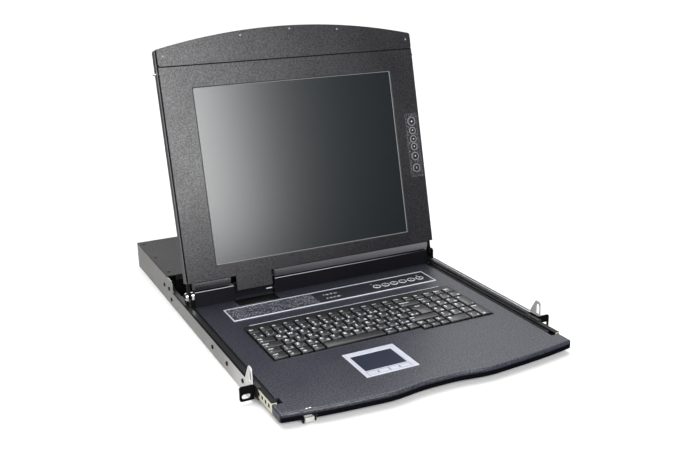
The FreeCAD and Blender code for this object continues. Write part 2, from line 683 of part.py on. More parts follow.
def hinge_base():
    """Left fixed hinge half: foot, upright and bridge that carry the two lugs."""
    foot = block(-208.3, -186.0, AXIS_D - 4.2, AXIS_D + 4.2, DECK_Z, DECK_Z + 2.0)
    upright = block(*LUG_IN, AXIS_D - LUG_R, AXIS_D + LUG_R, DECK_Z, LUG_FOOT_Z)
    bridge = block(LUG_OUT[0], LUG_IN[1], AXIS_D - LUG_R, AXIS_D + LUG_R, 26.0, 28.4)
    outer = block(*LUG_OUT, AXIS_D - LUG_R, AXIS_D + LUG_R, 26.0, LUG_FOOT_Z)
    return fused([foot, upright, bridge, outer])


def hinge_pin():
    """Left hinge pin with a flat head."""
    shaft = cross_rod(LUG_OUT[0], LUG_IN[1] + 0.6, AXIS_D, AXIS_Z, PIN_R)
    head = cross_rod(LUG_OUT[0] - 1.2, LUG_OUT[0], AXIS_D, AXIS_Z, 3.4)
    return fused([shaft, head])


def hinge_arm():
    """Left lid arm: bored lobe on the hinge pin and a strap that runs up inside the lid."""
    lobe = Part.makeCylinder(LUG_R, ARM_X[1] - ARM_X[0], Vector(ARM_X[0], AXIS_B, AXIS_H),
                             Vector(1, 0, 0))
    strap = lid_block(*ARM_X, AXIS_B - 4.0, LID_DEPTH - 1.4, AXIS_H, 40.0)
    arm = fused([lobe, strap])
    bore = Part.makeCylinder(PIN_R + 0.06, 10.0, Vector(ARM_X[0] - 2, AXIS_B, AXIS_H),
                             Vector(1, 0, 0))
    return arm.cut(bore)


# ---- lid ---------------------------------------------------------------------------------
ARCH_RISE = LID_PEAK - LID_SHOULDER
ARCH_RADIUS = (LID_HALF ** 2 + ARCH_RISE ** 2) / (2 * ARCH_RISE)


def arch_height(x, inset):
    """Height of the arched top at x, moved down by inset."""
    return LID_PEAK - inset - ARCH_RADIUS + math.sqrt(ARCH_RADIUS ** 2 - x ** 2)


def arched_plate(half, low, inset, b0, b1):
    """Plate with straight sides and an arched top."""
    shoulder = arch_height(half, inset)
    left, right = Vector(-half, b0, low), Vector(half, b0, low)
    left_top, right_top = Vector(-half, b0, shoulder), Vector(half, b0, shoulder)
    arch = Part.Arc(right_top, Vector(0, b0, arch_height(0.0, inset)), left_top).toShape()
    wire = Part.Wire([Part.makeLine(left, right), Part.makeLine(right, right_top), arch,
                      Part.makeLine(left_top, left)])
    return Part.Face(wire).extrude(Vector(0, b1 - b0, 0))


def round_shoulders(plate, radius):
    """Round the two upper corners of an arched plate."""
    corners = [e for e in plate.Edges if e.BoundBox.YLength > 3 and e.BoundBox.ZMin > 300]
    return plate.makeFillet(radius, corners)


def about_axis(radius, degrees):
    """Point of the lid at an angle behind upright about the hinge axis."""
    angle = math.radians(degrees)
    return Vector(0, AXIS_B + radius * math.sin(angle), AXIS_H + radius * math.cos(angle))


def beam(x0, x1):
    """Rounded lower beam of the lid, hollowed below to swing clear of the hinge cover."""
    front_top, belly, tip = Vector(0, 2.0, -0.8), Vector(0, 3.0, -7.6), about_axis(BEAM_CLEAR_R, -43.0)
    under, heel = about_axis(BEAM_CLEAR_R, 0.0), about_axis(BEAM_CLEAR_R, 38.0)
    points = [heel, Vector(0, LID_DEPTH, heel.z), Vector(0, LID_DEPTH, 0.0), Vector(0, 5.4, 0.0),
              Vector(0, 5.4, -0.8), front_top]
    edges = [Part.Arc(front_top, belly, tip).toShape(), Part.Arc(tip, under, heel).toShape()]
    edges += [Part.makeLine(a, b) for a, b in zip(points, points[1:])]
    face = Part.Face(Part.Wire(edges))
    face.translate(Vector(x0, 0, 0))
    return face.extrude(Vector(x1 - x0, 0, 0))


LID_PILLARS = [(x, h) for x in (-205.0, 205.0) for h in (8.0, 90.0, 245.0, 300.0)]
LID_PILLARS += [(-150.0, 345.0), (0.0, 345.0), (150.0, 345.0)]


def lid_shell():
    """Rear shell of the lid with its screw pillars and side-pin bosses."""
    outer = arched_plate(LID_HALF, 0.0, 0.0, 5.4, LID_DEPTH)
    outer = round_shoulders(outer, 5.0)
    outer = round_edges(outer, 2.0, lambda c, r: c.y > LID_DEPTH - 0.1 and c.z > 1.0)
    inner = arched_plate(LID_HALF - 1.4, 1.4, 1.4, 4.0, LID_DEPTH - 1.4)
    shell = outer.cut(inner)
    boss = lid_block(-212.0, -203.0, 6.0, LID_DEPTH - 1.4, SIDE_PIN[1] - 5, SIDE_PIN[1] + 5)
    pillars = [lid_rod(x, h, 1.6, LID_DEPTH - 1.4, 3.5) for x, h in LID_PILLARS]
    shell = fused([shell, boss, mirrored(boss)] + pillars)
    notch = lid_block(ARM_X[0] - 0.4, ARM_X[1] + 0.4, 5.0, LID_DEPTH - 1.4, -1.0, 2.0)
    bore = Part.makeCylinder(SIDE_PIN_R + 0.08, 20.0, Vector(-221.0, *SIDE_PIN), Vector(1, 0, 0))
    for cutter in (notch, bore):
        shell = shell.cut(cutter).cut(mirrored(cutter))
    return shell


def lid_spine():
    """The two lengths of lower beam, on either side of the tongue."""
    return Part.makeCompound([beam(-207.0, SPINE_LEFT_END), beam(COVER_RIGHT[0], 207.0)])


def lid_bezel():
    """Front bezel with its screen opening, control strip opening, return edges and tongue."""
    face = lid_block(-BEZEL_HALF, BEZEL_HALF, 0, 5.0, 0, BEZEL_TOP)
    hollow = lid_block(-BEZEL_HALF + 1.4, BEZEL_HALF - 1.4, 1.6, 6.0, 1.4, BEZEL_TOP - 1.4)
    bezel = face.cut(hollow)
    x0, x1, h0, h1 = SCREEN
    bezel = bezel.cut(lid_block(x0, x1, -1, 3, h0, h1))
    edges = [e for e in bezel.Edges if e.BoundBox.YMax < 0.01 and e.BoundBox.XMin > x0 - 0.1
             and e.BoundBox.XMax < x1 + 0.1 and e.BoundBox.ZMin > h0 - 0.1
             and e.BoundBox.ZMax < h1 + 0.1]
    bezel = bezel.makeChamfer(1.1, edges)
    x0, x1, h0, h1 = OSD
    bezel = bezel.cut(lid_block(x0, x1, -1, 3, h0, h1))
    left, right, low = TONGUE
    tongue = lid_block(left, right, 0, 1.6, low, 1.4)
    return fused([bezel, tongue])


def lid_top_trim():
    """Arched trim across the top of the lid."""
    outer = round_shoulders(arched_plate(BEZEL_HALF, BEZEL_TOP + 1.0, 1.2, 0, 5.0), 4.0)
    inner = arched_plate(BEZEL_HALF - 1.4, BEZEL_TOP + 2.4, 2.6, 1.6, 6.0)
    return outer.cut(inner)


TRIM_SCREWS = ((-208.0, 343.0), (-83.0, 367.0), (0.0, 372.6), (83.0, 367.0), (208.0, 343.0))


def lid_screws():
    """Small screw heads on the top trim."""
    screws = []
    for x, h in TRIM_SCREWS:
        head = lid_rod(x, h, -0.5, 0.0, 1.8)
        screws.append(head.cut(lid_block(x - 1.2, x + 1.2, -1, -0.25, h - 0.25, h + 0.25)))
    return Part.makeCompound(screws)


def screen_glass():
    """Glossy front sheet of the screen."""
    x0, x1, h0, h1 = SCREEN
    return lid_block(x0 - 3, x1 + 3, 1.6, 3.6, h0 - 3, h1 + 3)


def screen_module():
    """Flat panel behind the glass."""
    x0, x1, h0, h1 = SCREEN
    return lid_block(x0 - 5, x1 + 5, 3.6, 12.0, h0 - 5, h1 + 5)


def screen_board():
    """Screen driver board with its chips, behind the panel."""
    board = lid_block(-70.0, 50.0, 13.4, 15.0, 60.0, 140.0)
    stand = [lid_rod(x, h, 12.0, 13.4, 3.0) for x in (-64.0, 44.0) for h in (66.0, 134.0)]
    chips = [lid_block(x, x + 20, 15.0, 17.0, 90.0, 110.0) for x in (-50.0, 10.0)]
    return fused([board] + stand + chips)


def osd_panel():
    """Screen control strip with bores for its buttons."""
    x0, x1, h0, h1 = OSD
    strip = lid_block(x0, x1, -0.5, 1.6, h0, h1)
    for h, radius in OSD_BUTTONS:
        strip = strip.cut(lid_rod(OSD_X, h, -2, 3, radius + 0.3))
    return strip


def osd_button(height, radius):
    """Round screen control button with a retaining collar."""
    cap = lid_rod(OSD_X, height, -1.2, 2.0, radius)
    collar = lid_rod(OSD_X, height, 1.9, 2.7, radius + 0.8)
    return fused([cap, collar])


def side_pin():
    """Left sprung pin with a round nose and a retaining collar."""
    tip = Vector(-224.4 + SIDE_PIN_R, *SIDE_PIN)
    nose = Part.makeSphere(SIDE_PIN_R, tip)
    shaft = Part.makeCylinder(SIDE_PIN_R, 17.0, tip, Vector(1, 0, 0))
    collar = Part.makeCylinder(3.4, 1.2, Vector(-217.9, *SIDE_PIN), Vector(1, 0, 0))
    return fused([nose, shaft, collar])


# ---- build -------------------------------------------------------------------------------
def build_chassis():
    save("chassis_pan", chassis_pan())
    save("rear_panel", rear_panel())
    save("front_bulkhead", front_bulkhead())
    save("top_cover", top_cover())
    save("chassis_screws", chassis_screws())
    save("side_plates", both_sides(side_plate()))
    save("rack_ears", both_sides(rack_ear()))
    save("slides_outer", both_sides(slide_outer()))
    save("slides_middle", both_sides(slide_middle()))
    save("slide_ends", both_sides(slide_end()))
    save("switch_board", switch_board())
    save("power_supply", power_supply())
    save("rear_ports", rear_ports())
    save("power_inlet", power_inlet())


def build_tray():
    save("tray_deck", tray_deck())
    save("tray_bottom", tray_bottom())
    save("slides_inner", both_sides(slide_inner()))
    save("keyboard_base", keyboard_base())
    save("switch_panel", switch_panel())
    save("switch_panel_trim", panel_trim())
    save("touchpad_frame", touchpad_frame())
    save("touchpad_pad", touchpad_pad())
    save("latch_bracket", latch_bracket())
    save("front_latch", front_latch())
    save("hinge_covers", hinge_covers())
    save("hinge_bases", both_sides(hinge_base()))
    save("hinge_lugs", both_sides(hinge_lugs()))
    save("hinge_pins", both_sides(hinge_pin()))


def build_controls():
    save("keys_bottom", keys_bottom())
    save("keys_lower", keys_lower())
    save("keys_home", keys_home())
    save("keys_upper", keys_upper())
    save("keys_number", keys_number())
    save("keys_function", keys_function())
    for i in range(6):
        save("switch_button_%d" % (i + 1), panel_button(i))
    for i, side in enumerate(("left", "right")):
        save("touchpad_button_" + side, touchpad_button(i))
    for i, (height, radius) in enumerate(OSD_BUTTONS):
        save_lid("screen_button_%d" % (i + 1), osd_button(height, radius))


def build_lid():
    save_lid("lid_shell", lid_shell())
    save_lid("lid_spine", lid_spine())
    save_lid("lid_bezel", lid_bezel())
    save_lid("lid_top_trim", lid_top_trim())
    save_lid("lid_screws", lid_screws())
    save_lid("screen_glass", screen_glass())
    save_lid("screen_module", screen_module())
    save_lid("screen_board", screen_board())
    save_lid("screen_controls", osd_panel())
    save_lid("hinge_arms", both_sides(hinge_arm()))
    save_lid("lid_pin_left", side_pin())
    save_lid("lid_pin_right", mirrored(side_pin()))


os.makedirs("parts", exist_ok=True)
build_chassis()
build_tray()
build_controls()
build_lid()
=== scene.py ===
"""Looks of the rack console drawer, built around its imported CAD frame."""
import json
import math

import bmesh
import bpy
from mathutils import Matrix, Vector


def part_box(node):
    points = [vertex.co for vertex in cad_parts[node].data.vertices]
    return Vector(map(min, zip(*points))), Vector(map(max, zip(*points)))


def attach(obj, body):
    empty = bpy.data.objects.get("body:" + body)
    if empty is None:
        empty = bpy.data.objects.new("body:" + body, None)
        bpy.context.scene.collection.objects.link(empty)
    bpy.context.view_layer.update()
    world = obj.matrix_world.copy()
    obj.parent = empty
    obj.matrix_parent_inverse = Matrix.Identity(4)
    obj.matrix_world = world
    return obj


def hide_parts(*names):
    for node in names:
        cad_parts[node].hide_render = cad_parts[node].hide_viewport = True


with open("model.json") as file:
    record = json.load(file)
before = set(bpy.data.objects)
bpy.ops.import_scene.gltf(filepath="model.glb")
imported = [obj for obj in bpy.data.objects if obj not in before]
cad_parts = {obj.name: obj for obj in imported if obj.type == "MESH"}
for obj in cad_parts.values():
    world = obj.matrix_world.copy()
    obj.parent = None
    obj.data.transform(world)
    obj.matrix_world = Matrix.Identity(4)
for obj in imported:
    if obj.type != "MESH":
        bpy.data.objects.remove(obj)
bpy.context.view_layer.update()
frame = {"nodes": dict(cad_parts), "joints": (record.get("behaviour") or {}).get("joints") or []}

NODES = frame["nodes"]
JOINTS = {joint["name"]: joint for joint in frame["joints"]}
MM = 0.001

# ---- places, in millimetres --------------------------------------------------------------
EAR_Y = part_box("rack_ears")[0].y        # depths (d) count back from the rack ears' fronts
DECK_Z = 19.0
LEAN = math.radians(JOINTS["lid_hinge"]["range_deg"][1] - 90.0)
AXIS_B, AXIS_H = 13.5, -19.9                # hinge axis behind and below the bezel's lower edge
LID_DEPTH = 19.0
SCREEN = (-169.0, 170.6, 21.0, 292.7)       # x and h limits of the bezel's opening
CONTROLS = (189.0, 213.0, 111.0, 220.0)
CONTROLS_X = 201.5
PANEL_Z = 19.4                              # upper face of the button strip
PAD_FRAME = (-84.2, -6.3, -42.5, 29.8)
PAD_OPENING = (-78.4, -15.0, -27.2, 19.8)
KEYS_X, KEY_PITCH, ROW_PITCH = -170.1, 18.3, 18.4
ROWS_D, FUNCTION_DEPTH = 59.0, 17.0
CLUSTER_X, CLUSTER_D = 58.0, 50.4
KEY_LOW, KEY_TOP, KEY_GAP = 16.0, 21.4, 0.6
PRINT_LIFT = 0.02                           # how far printed marks stand off their surface

# Placing matrices: a millimetre drawing on the deck (x, d, z) or on the lid's face (x, h, out).
ON_DECK = Matrix.Translation((0.0, EAR_Y, 0.0)) @ Matrix.Scale(MM, 4)
LEANED = Matrix.Rotation(-LEAN, 4, "X")
LID_ORIGIN = Vector(JOINTS["lid_hinge"]["pos_m"]) - LEANED @ (Vector((0.0, AXIS_B, AXIS_H)) * MM)
IN_LID = Matrix.Translation(LID_ORIGIN) @ LEANED @ Matrix.Scale(MM, 4)
ON_LID = IN_LID @ Matrix.Rotation(math.pi / 2, 4, "X")


# ---- material helpers --------------------------------------------------------------------
class Shader:
    """A principled material and the node calls that are used most."""

    def __init__(self, name, roughness=0.5, metallic=0.0, specular=0.5):
        self.material = bpy.data.materials.new(name)
        self.material.use_nodes = True
        self.tree = self.material.node_tree
        self.main = self.tree.nodes["Principled BSDF"]
        self.main.inputs["Roughness"].default_value = roughness
        self.main.inputs["Metallic"].default_value = metallic
        self.main.inputs["Specular IOR Level"].default_value = specular
        self.place = self.node("ShaderNodeTexCoord").outputs["Object"]

    def node(self, kind, **values):
        made = self.tree.nodes.new(kind)
        for key, value in values.items():
            setattr(made, key, value)
        return made

    def join(self, source, target):
        self.tree.links.new(source, target)

    def stretched(self, scale):
        """Object coordinates stretched by a vector."""
        mapping = self.node("ShaderNodeMapping")
        mapping.inputs["Scale"].default_value = scale
        self.join(self.place, mapping.inputs["Vector"])
        return mapping.outputs["Vector"]

    def noise(self, scale, detail=4.0, roughness=0.55, vector=None):
        """Cloudy value between 0 and 1 over the object's coordinates."""
        made = self.node("ShaderNodeTexNoise")
        made.inputs["Scale"].default_value = scale
        made.inputs["Detail"].default_value = detail
        made.inputs["Roughness"].default_value = roughness
        self.join(vector or self.place, made.inputs["Vector"])
        return made.outputs["Fac"]

    def ramp(self, source, low, high, dark, light):
        """Colours between dark and light as source goes from low to high."""
        made = self.node("ShaderNodeValToRGB")
        made.color_ramp.elements[0].position = low
        made.color_ramp.elements[1].position = high
        made.color_ramp.elements[0].color = (*dark, 1.0)
        made.color_ramp.elements[1].color = (*light, 1.0)
        self.join(source, made.inputs["Fac"])
        return made.outputs["Color"]

    def span(self, source, low, high, out_low, out_high):
        """Remaps a value."""
        made = self.node("ShaderNodeMapRange")
        made.inputs["From Min"].default_value = low
        made.inputs["From Max"].default_value = high
        made.inputs["To Min"].default_value = out_low
        made.inputs["To Max"].default_value = out_high
        self.join(source, made.inputs["Value"])
        return made.outputs["Result"]

    def towards(self, source, factor, colour):
        """Source colour drawn towards a fixed colour where factor nears 1."""
        made = self.node("ShaderNodeMix", data_type="RGBA")
        self.join(factor, made.inputs["Factor"])
        self.join(source, made.inputs["A"])
        made.inputs["B"].default_value = (*colour, 1.0)
        return made.outputs["Result"]

    def times(self, first, second):
        """Product of two varying values."""
        made = self.node("ShaderNodeMath", operation="MULTIPLY")
        self.join(first, made.inputs[0])
        self.join(second, made.inputs[1])
        return made.outputs["Value"]

    def blended(self, first, second, share):
        """Fixed-share mix of two varying colours."""
        made = self.node("ShaderNodeMix", data_type="RGBA")
        made.inputs["Factor"].default_value = share
        self.join(first, made.inputs["A"])
        self.join(second, made.inputs["B"])
        return made.outputs["Result"]

    def edge_mask(self, radius):
        """Near 1 on sharp outside edges, from a rounded normal against the true one."""
        bevel = self.node("ShaderNodeBevel", samples=4)
        bevel.inputs["Radius"].default_value = radius
        geometry = self.node("ShaderNodeNewGeometry")
        dot = self.node("ShaderNodeVectorMath", operation="DOT_PRODUCT")
        self.join(bevel.outputs["Normal"], dot.inputs[0])
        self.join(geometry.outputs["Normal"], dot.inputs[1])
        return self.span(dot.outputs["Value"], 0.995, 0.90, 0.0, 1.0)

    def facing(self, axis, low, high):
        """Rises from 0 to 1 as a face's normal goes from low to high along a world axis."""
        geometry = self.node("ShaderNodeNewGeometry")
        split = self.node("ShaderNodeSeparateXYZ")
        self.join(geometry.outputs["Normal"], split.inputs["Vector"])
        return self.span(split.outputs[axis], low, high, 0.0, 1.0)

    def along(self, axis, low, high):
        """Rises from 0 to 1 between two places along one of the object's axes, in metres."""
        split = self.node("ShaderNodeSeparateXYZ")
        self.join(self.place, split.inputs["Vector"])
        return self.span(split.outputs[axis], low, high, 0.0, 1.0)

    def surface(self, height, strength, distance, edge=0.0):
        """Bump from a height, over edges that shade as if rounded."""
        bump = self.node("ShaderNodeBump")
        bump.inputs["Strength"].default_value = strength
        bump.inputs["Distance"].default_value = distance
        self.join(height, bump.inputs["Height"])
        if edge > 0.0:
            bevel = self.node("ShaderNodeBevel", samples=4)
            bevel.inputs["Radius"].default_value = edge
            self.join(bevel.outputs["Normal"], bump.inputs["Normal"])
        self.join(bump.outputs["Normal"], self.main.inputs["Normal"])

    def colour(self, source):
        self.join(source, self.main.inputs["Base Color"])

    def rough(self, source):
        self.join(source, self.main.inputs["Roughness"])


def scaled(colour, factor):
    return tuple(channel * factor for channel in colour)


def powder_coat(name, colour, roughness, grain=1500.0, depth=0.25, specular=0.5, wear=1.9,
                contrast=0.2, front_shade=False, shaded_foot=None):
    """Textured powder paint: fine orange-peel grain, slight mottling, lighter edges.

    front_shade paints shade onto the lower part of faces that look forward, nearly black and without
    gloss;
    shaded_foot is the share of the gloss that is left at the foot of the lid, a painted shade towards its
    foot.
    """
    shader = Shader(name, roughness, 0.0, specular)
    fine = shader.noise(grain, 3.0, 0.65)
    broad = shader.noise(9.0, 3.0)
    speck = shader.ramp(fine, 0.36, 0.66, scaled(colour, 1.0 - 1.6 * contrast),
                        scaled(colour, 1.0 + 2.0 * contrast))
    tone = shader.ramp(broad, 0.3, 0.7, scaled(colour, 0.93), scaled(colour, 1.08))
    painted = shader.towards(shader.blended(speck, tone, 0.4), shader.edge_mask(0.0007),
                             scaled(colour, wear))
    gloss = shader.span(fine, 0.38, 0.62, specular * (1.0 - contrast), specular * (1.0 + contrast))
    if front_shade:
        # painted shade: faces that look forward go nearly black below a height and lose their gloss
        front = shader.times(shader.facing("Y", -0.35, -0.80), shader.along("Z", 0.0150, 0.0128))
        painted = shader.towards(painted, front, scaled(colour, 0.1))
        gloss = shader.times(gloss, shader.span(front, 0.0, 1.0, 1.0, 0.0))
    if shaded_foot is not None:
        # painted shade: the gloss weakens towards the lid's foot, so the lid darkens there
        foot_shade = shader.span(shader.along("Z", 0.045, 0.19), 0.0, 1.0, shaded_foot, 1.0)
        gloss = shader.times(gloss, foot_shade)
    shader.colour(painted)
    shader.rough(shader.span(broad, 0.3, 0.7, roughness - 0.04, roughness + 0.05))
    shader.join(gloss, shader.main.inputs["Specular IOR Level"])
    shader.surface(fine, depth, 0.0003, 0.0004)
    return shader.material


def sheet_metal(name, colour, roughness, streak=(240.0, 8.0, 240.0), spangle=0.0, depth=0.06,
                metallic=1.0, shaded_top=None, shaded_right=None, painted_reflection_front=None):
    """Plated steel with rolling streaks and a faint spangle.

    shaded_top is the colour of painted shade on faces that look up, which lose their metal look there;
    shaded_right the colour of painted shade towards the right; painted_reflection_front the colour of a
    painted reflection that pales the metal towards the front.
    """
    shader = Shader(name, roughness, metallic)
    lines = shader.noise(3.0, 5.0, 0.6, shader.stretched(streak))
    clouds = shader.noise(26.0, 4.0)
    streaked = shader.ramp(lines, 0.3, 0.75, scaled(colour, 0.86), scaled(colour, 1.08))
    clouded = shader.ramp(clouds, 0.3, 0.7, scaled(colour, 0.9), scaled(colour, 1.06))
    body = shader.blended(streaked, clouded, 0.45)
    shader.rough(shader.span(clouds, 0.3, 0.7, roughness - 0.06, roughness + 0.1))
    if spangle > 0.0:
        cells = shader.node("ShaderNodeTexVoronoi")
        cells.inputs["Scale"].default_value = spangle
        shader.join(shader.place, cells.inputs["Vector"])
        grey = shader.ramp(cells.outputs["Color"], 0.0, 1.0, scaled(colour, 0.82), colour)
        body = shader.blended(body, grey, 0.3)
    if shaded_top is not None:
        # painted shade: faces that look up go dark and lose their metal look
        shader.main.inputs["Specular IOR Level"].default_value = 0.2
        body = shader.towards(body, shader.facing("Z", 0.6, 0.9), shaded_top)
        plated = shader.span(shader.facing("Z", 0.9, 0.6), 0.0, 1.0, 0.0, metallic)
        shader.join(plated, shader.main.inputs["Metallic"])
    if painted_reflection_front is not None:
        # painted reflection: the metal turns pale towards the front
        body = shader.towards(body, shader.along("Y", -0.13, -0.235), painted_reflection_front)
    if shaded_right is not None:
        # painted shade: the metal goes dark towards the right
        body = shader.towards(body, shader.along("X", 0.05, 0.15), shaded_right)
    shader.colour(body)
    shader.surface(lines, depth, 0.0002, 0.0003)
    return shader.material


def moulded(name, colour, roughness, grain=2600.0, depth=0.08, specular=0.5, coat=0.0,
            metallic=0.0, shaded_sides=False):
    """Moulded plastic with a fine spark-eroded grain, slight colour drift and, if asked, painted shade on
    its sides.
    """
    shader = Shader(name, roughness, metallic, specular)
    fine = shader.noise(grain, 2.0, 0.5)
    broad = shader.noise(30.0, 3.0)
    body = shader.ramp(broad, 0.3, 0.7, scaled(colour, 0.92), scaled(colour, 1.08))
    if shaded_sides:
        # painted shade: faces that don't look up go dark and lose their gloss
        body = shader.towards(body, shader.facing("Z", 0.85, 0.4), scaled(colour, 0.12))
        gloss = shader.span(shader.facing("Z", 0.2, 0.8), 0.0, 1.0, 0.0, specular)
        shader.join(gloss, shader.main.inputs["Specular IOR Level"])
    shader.colour(body)
    shader.rough(shader.span(fine, 0.3, 0.7, roughness - 0.05, roughness + 0.07))
    shader.main.inputs["Coat Weight"].default_value = coat
    shader.main.inputs["Coat Roughness"].default_value = 0.12
    shader.surface(fine, depth, 0.0001, 0.0002)
    return shader.material


def ink(name, colour):
    """Printed legend ink with slight density changes."""
    shader = Shader(name, 0.5)
    shader.colour(shader.ramp(shader.noise(900.0, 2.0), 0.3, 0.7, scaled(colour, 0.9), colour))
    return shader.material


def shade_graded(name, left, right, reach, roughness, grain=1100.0):
    """Satin paint that goes from one tone to another along the width, between two places: a painted
    gradient of shade and highlight.
    """
    shader = Shader(name, roughness, 0.0, 1.0)
    fine = shader.noise(grain, 3.0, 0.6)
    share = shader.along("X", *reach)
    shader.colour(shader.ramp(share, 0.0, 1.0, left, right))
    shader.rough(shader.span(fine, 0.3, 0.7, roughness - 0.05, roughness + 0.06))
    shader.surface(fine, 0.1, 0.0003, 0.0004)
    return shader.material


def dotted_film(name, colour, dot_colour):
    """Dark printed film with fine light dots."""
    shader = Shader(name, 0.35)
    cells = shader.node("ShaderNodeTexVoronoi")
    cells.inputs["Scale"].default_value = 350.0
    shader.join(shader.place, cells.inputs["Vector"])
    dots = shader.ramp(cells.outputs["Distance"], 0.22, 0.40, dot_colour, colour)
    cloud = shader.ramp(shader.noise(60.0, 3.0), 0.35, 0.65, scaled(colour, 0.8), scaled(colour, 1.4))
    shader.colour(shader.blended(dots, cloud, 0.4))
    shader.surface(cells.outputs["Distance"], 0.05, 0.0001)
    return shader.material


def screen_face():
    """Unlit flat panel behind a semi-gloss anti-glare film."""
    shader = Shader("screen_face", 0.30, 0.0, 1.0)
    pixels = shader.node("ShaderNodeTexWave", wave_type="BANDS", bands_direction="X")
    pixels.inputs["Scale"].default_value = 900.0
    shader.join(shader.place, pixels.inputs["Vector"])
    base = (0.0035, 0.0065, 0.0085)
    shader.colour(shader.ramp(pixels.outputs["Fac"], 0.0, 1.0, base, scaled(base, 1.15)))
    haze = shader.noise(4200.0, 2.0)
    shader.rough(shader.span(haze, 0.3, 0.7, 0.22, 0.26))
    shader.surface(haze, 0.03, 0.00005)
    return shader.material


def circuit():
    """Green solder mask with faint copper tracks under it."""
    shader = Shader("circuit_board", 0.35)
    tracks = shader.node("ShaderNodeTexVoronoi", distance="MANHATTAN", feature="F1")
    tracks.inputs["Scale"].default_value = 160.0
    shader.join(shader.place, tracks.inputs["Vector"])
    mask, copper = (0.008, 0.04, 0.02), (0.02, 0.09, 0.04)
    shader.colour(shader.ramp(tracks.outputs["Distance"], 0.35, 0.5, mask, copper))
    shader.surface(tracks.outputs["Distance"], 0.1, 0.0001)
    return shader.material


DECK_COLOUR = (0.027, 0.028, 0.039)
LID_COLOUR = (0.012, 0.0118, 0.0145)
MATERIALS = {
    # the deck's forward faces carry painted shade on their lower part
    "deck": powder_coat("deck_paint", DECK_COLOUR, 0.35, 520.0, 0.5, contrast=0.52, front_shade=True),
    # the lid's gloss fades towards its foot as painted shade
    "lid": powder_coat("lid_paint", LID_COLOUR, 0.33, 520.0, 0.4, 0.62, contrast=0.36, shaded_foot=0.5),
    "shell": powder_coat("shell_paint", (0.050, 0.050, 0.054), 0.36, 900.0, 0.2),
    # the spine is painted dark at the left and light at the right, as painted shade and highlight
    "spine": shade_graded("spine_painted_highlight", (0.012, 0.012, 0.015), (0.125, 0.125, 0.134), (-0.2, 0.2), 0.30),
    # bright strips that stand for the highlight on the hinge covers' front edges, fading to the right
    "painted_edge_highlight": shade_graded("painted_edge_highlight", (0.62, 0.63, 0.68), (0.03, 0.03, 0.035), (0.02, 0.19), 0.3),
    "cover": powder_coat("cover_paint", (0.014, 0.014, 0.016), 0.5, 520.0, 0.5, 0.16, contrast=0.5),
    "housing": powder_coat("housing_paint", (0.003, 0.003, 0.005), 0.42, 900.0, 0.2, 0.2, 3.0),
    "black": powder_coat("black_paint", (0.002, 0.002, 0.002), 0.5, 1500.0, 0.2, 0.1, 3.0),
    # the side plates and the other zinc parts carry a painted reflection that pales them towards the
    # front
    "zinc": sheet_metal("zinc_steel", (0.33, 0.325, 0.315), 0.36, spangle=140.0, metallic=0.5,
                        painted_reflection_front=(0.76, 0.75, 0.73)),
    # the slides' upward faces carry painted shade
    "slide": sheet_metal("slide_steel", (0.40, 0.40, 0.41), 0.3, shaded_top=(0.016, 0.017, 0.019)),
    "yellow": sheet_metal("yellow_zinc", (0.62, 0.61, 0.50), 0.45, spangle=160.0, metallic=0.2,
                          shaded_top=(0.006, 0.006, 0.007)),
    "satin": sheet_metal("satin_steel", (0.62, 0.61, 0.59), 0.3, metallic=0.4, depth=0.03),
    # the hinge lugs are painted dark towards the right as painted shade, unlike the same bright steel
    # elsewhere
    "lug": sheet_metal("hinge_steel_shaded_right", (0.78, 0.77, 0.74), 0.2, depth=0.02, shaded_right=(0.02, 0.02, 0.02)),
    "bright": sheet_metal("bright_steel", (0.78, 0.77, 0.74), 0.2, depth=0.02),
    # the key caps carry painted shade on their sides
    "key": moulded("key_plastic", (0.017, 0.017, 0.020), 0.42, specular=0.75, shaded_sides=True),
    "well": moulded("well_plastic", (0.004, 0.004, 0.005), 0.5),
    "film": moulded("panel_film", (0.018, 0.019, 0.026), 0.3, 3000.0, 0.04, coat=0.3),
    "silver": moulded("silver_plastic", (0.60, 0.62, 0.68), 0.3, 2600.0, 0.05),
    "dull": moulded("pad_frame_plastic", (0.44, 0.45, 0.52), 0.35, 1200.0, 0.08),
    "faint": moulded("control_outline", (0.06, 0.06, 0.065), 0.4, 2600.0, 0.02),
    "rim": moulded("screen_rim", (0.22, 0.22, 0.22), 0.35, 2600.0, 0.02),
    "chrome": moulded("chrome_rim", (0.62, 0.63, 0.66), 0.18, 2600.0, 0.02, metallic=1.0),
    "button": moulded("button_plastic", (0.014, 0.014, 0.017), 0.3, coat=0.4),
    "pad": moulded("pad_surface", (0.014, 0.018, 0.034), 0.42, 4200.0, 0.12, 0.15),
    "window": dotted_film("display_window", (0.030, 0.032, 0.046), (0.75, 0.78, 0.86)),
    "speckle": dotted_film("control_film", (0.014, 0.014, 0.018), (0.20, 0.20, 0.21)),
    "screen": screen_face(),
    "board": circuit(),
    "plug": moulded("connector_black", (0.012, 0.012, 0.012), 0.45),
    "blue": moulded("port_insert", (0.02, 0.06, 0.28), 0.4),
    "white_ink": ink("white_ink", (0.85, 0.86, 0.88)),
    "pale_ink": ink("pale_ink", (0.60, 0.64, 0.74)),
    "clear": moulded("clear_lens", (0.55, 0.56, 0.58), 0.2, coat=0.5),
}

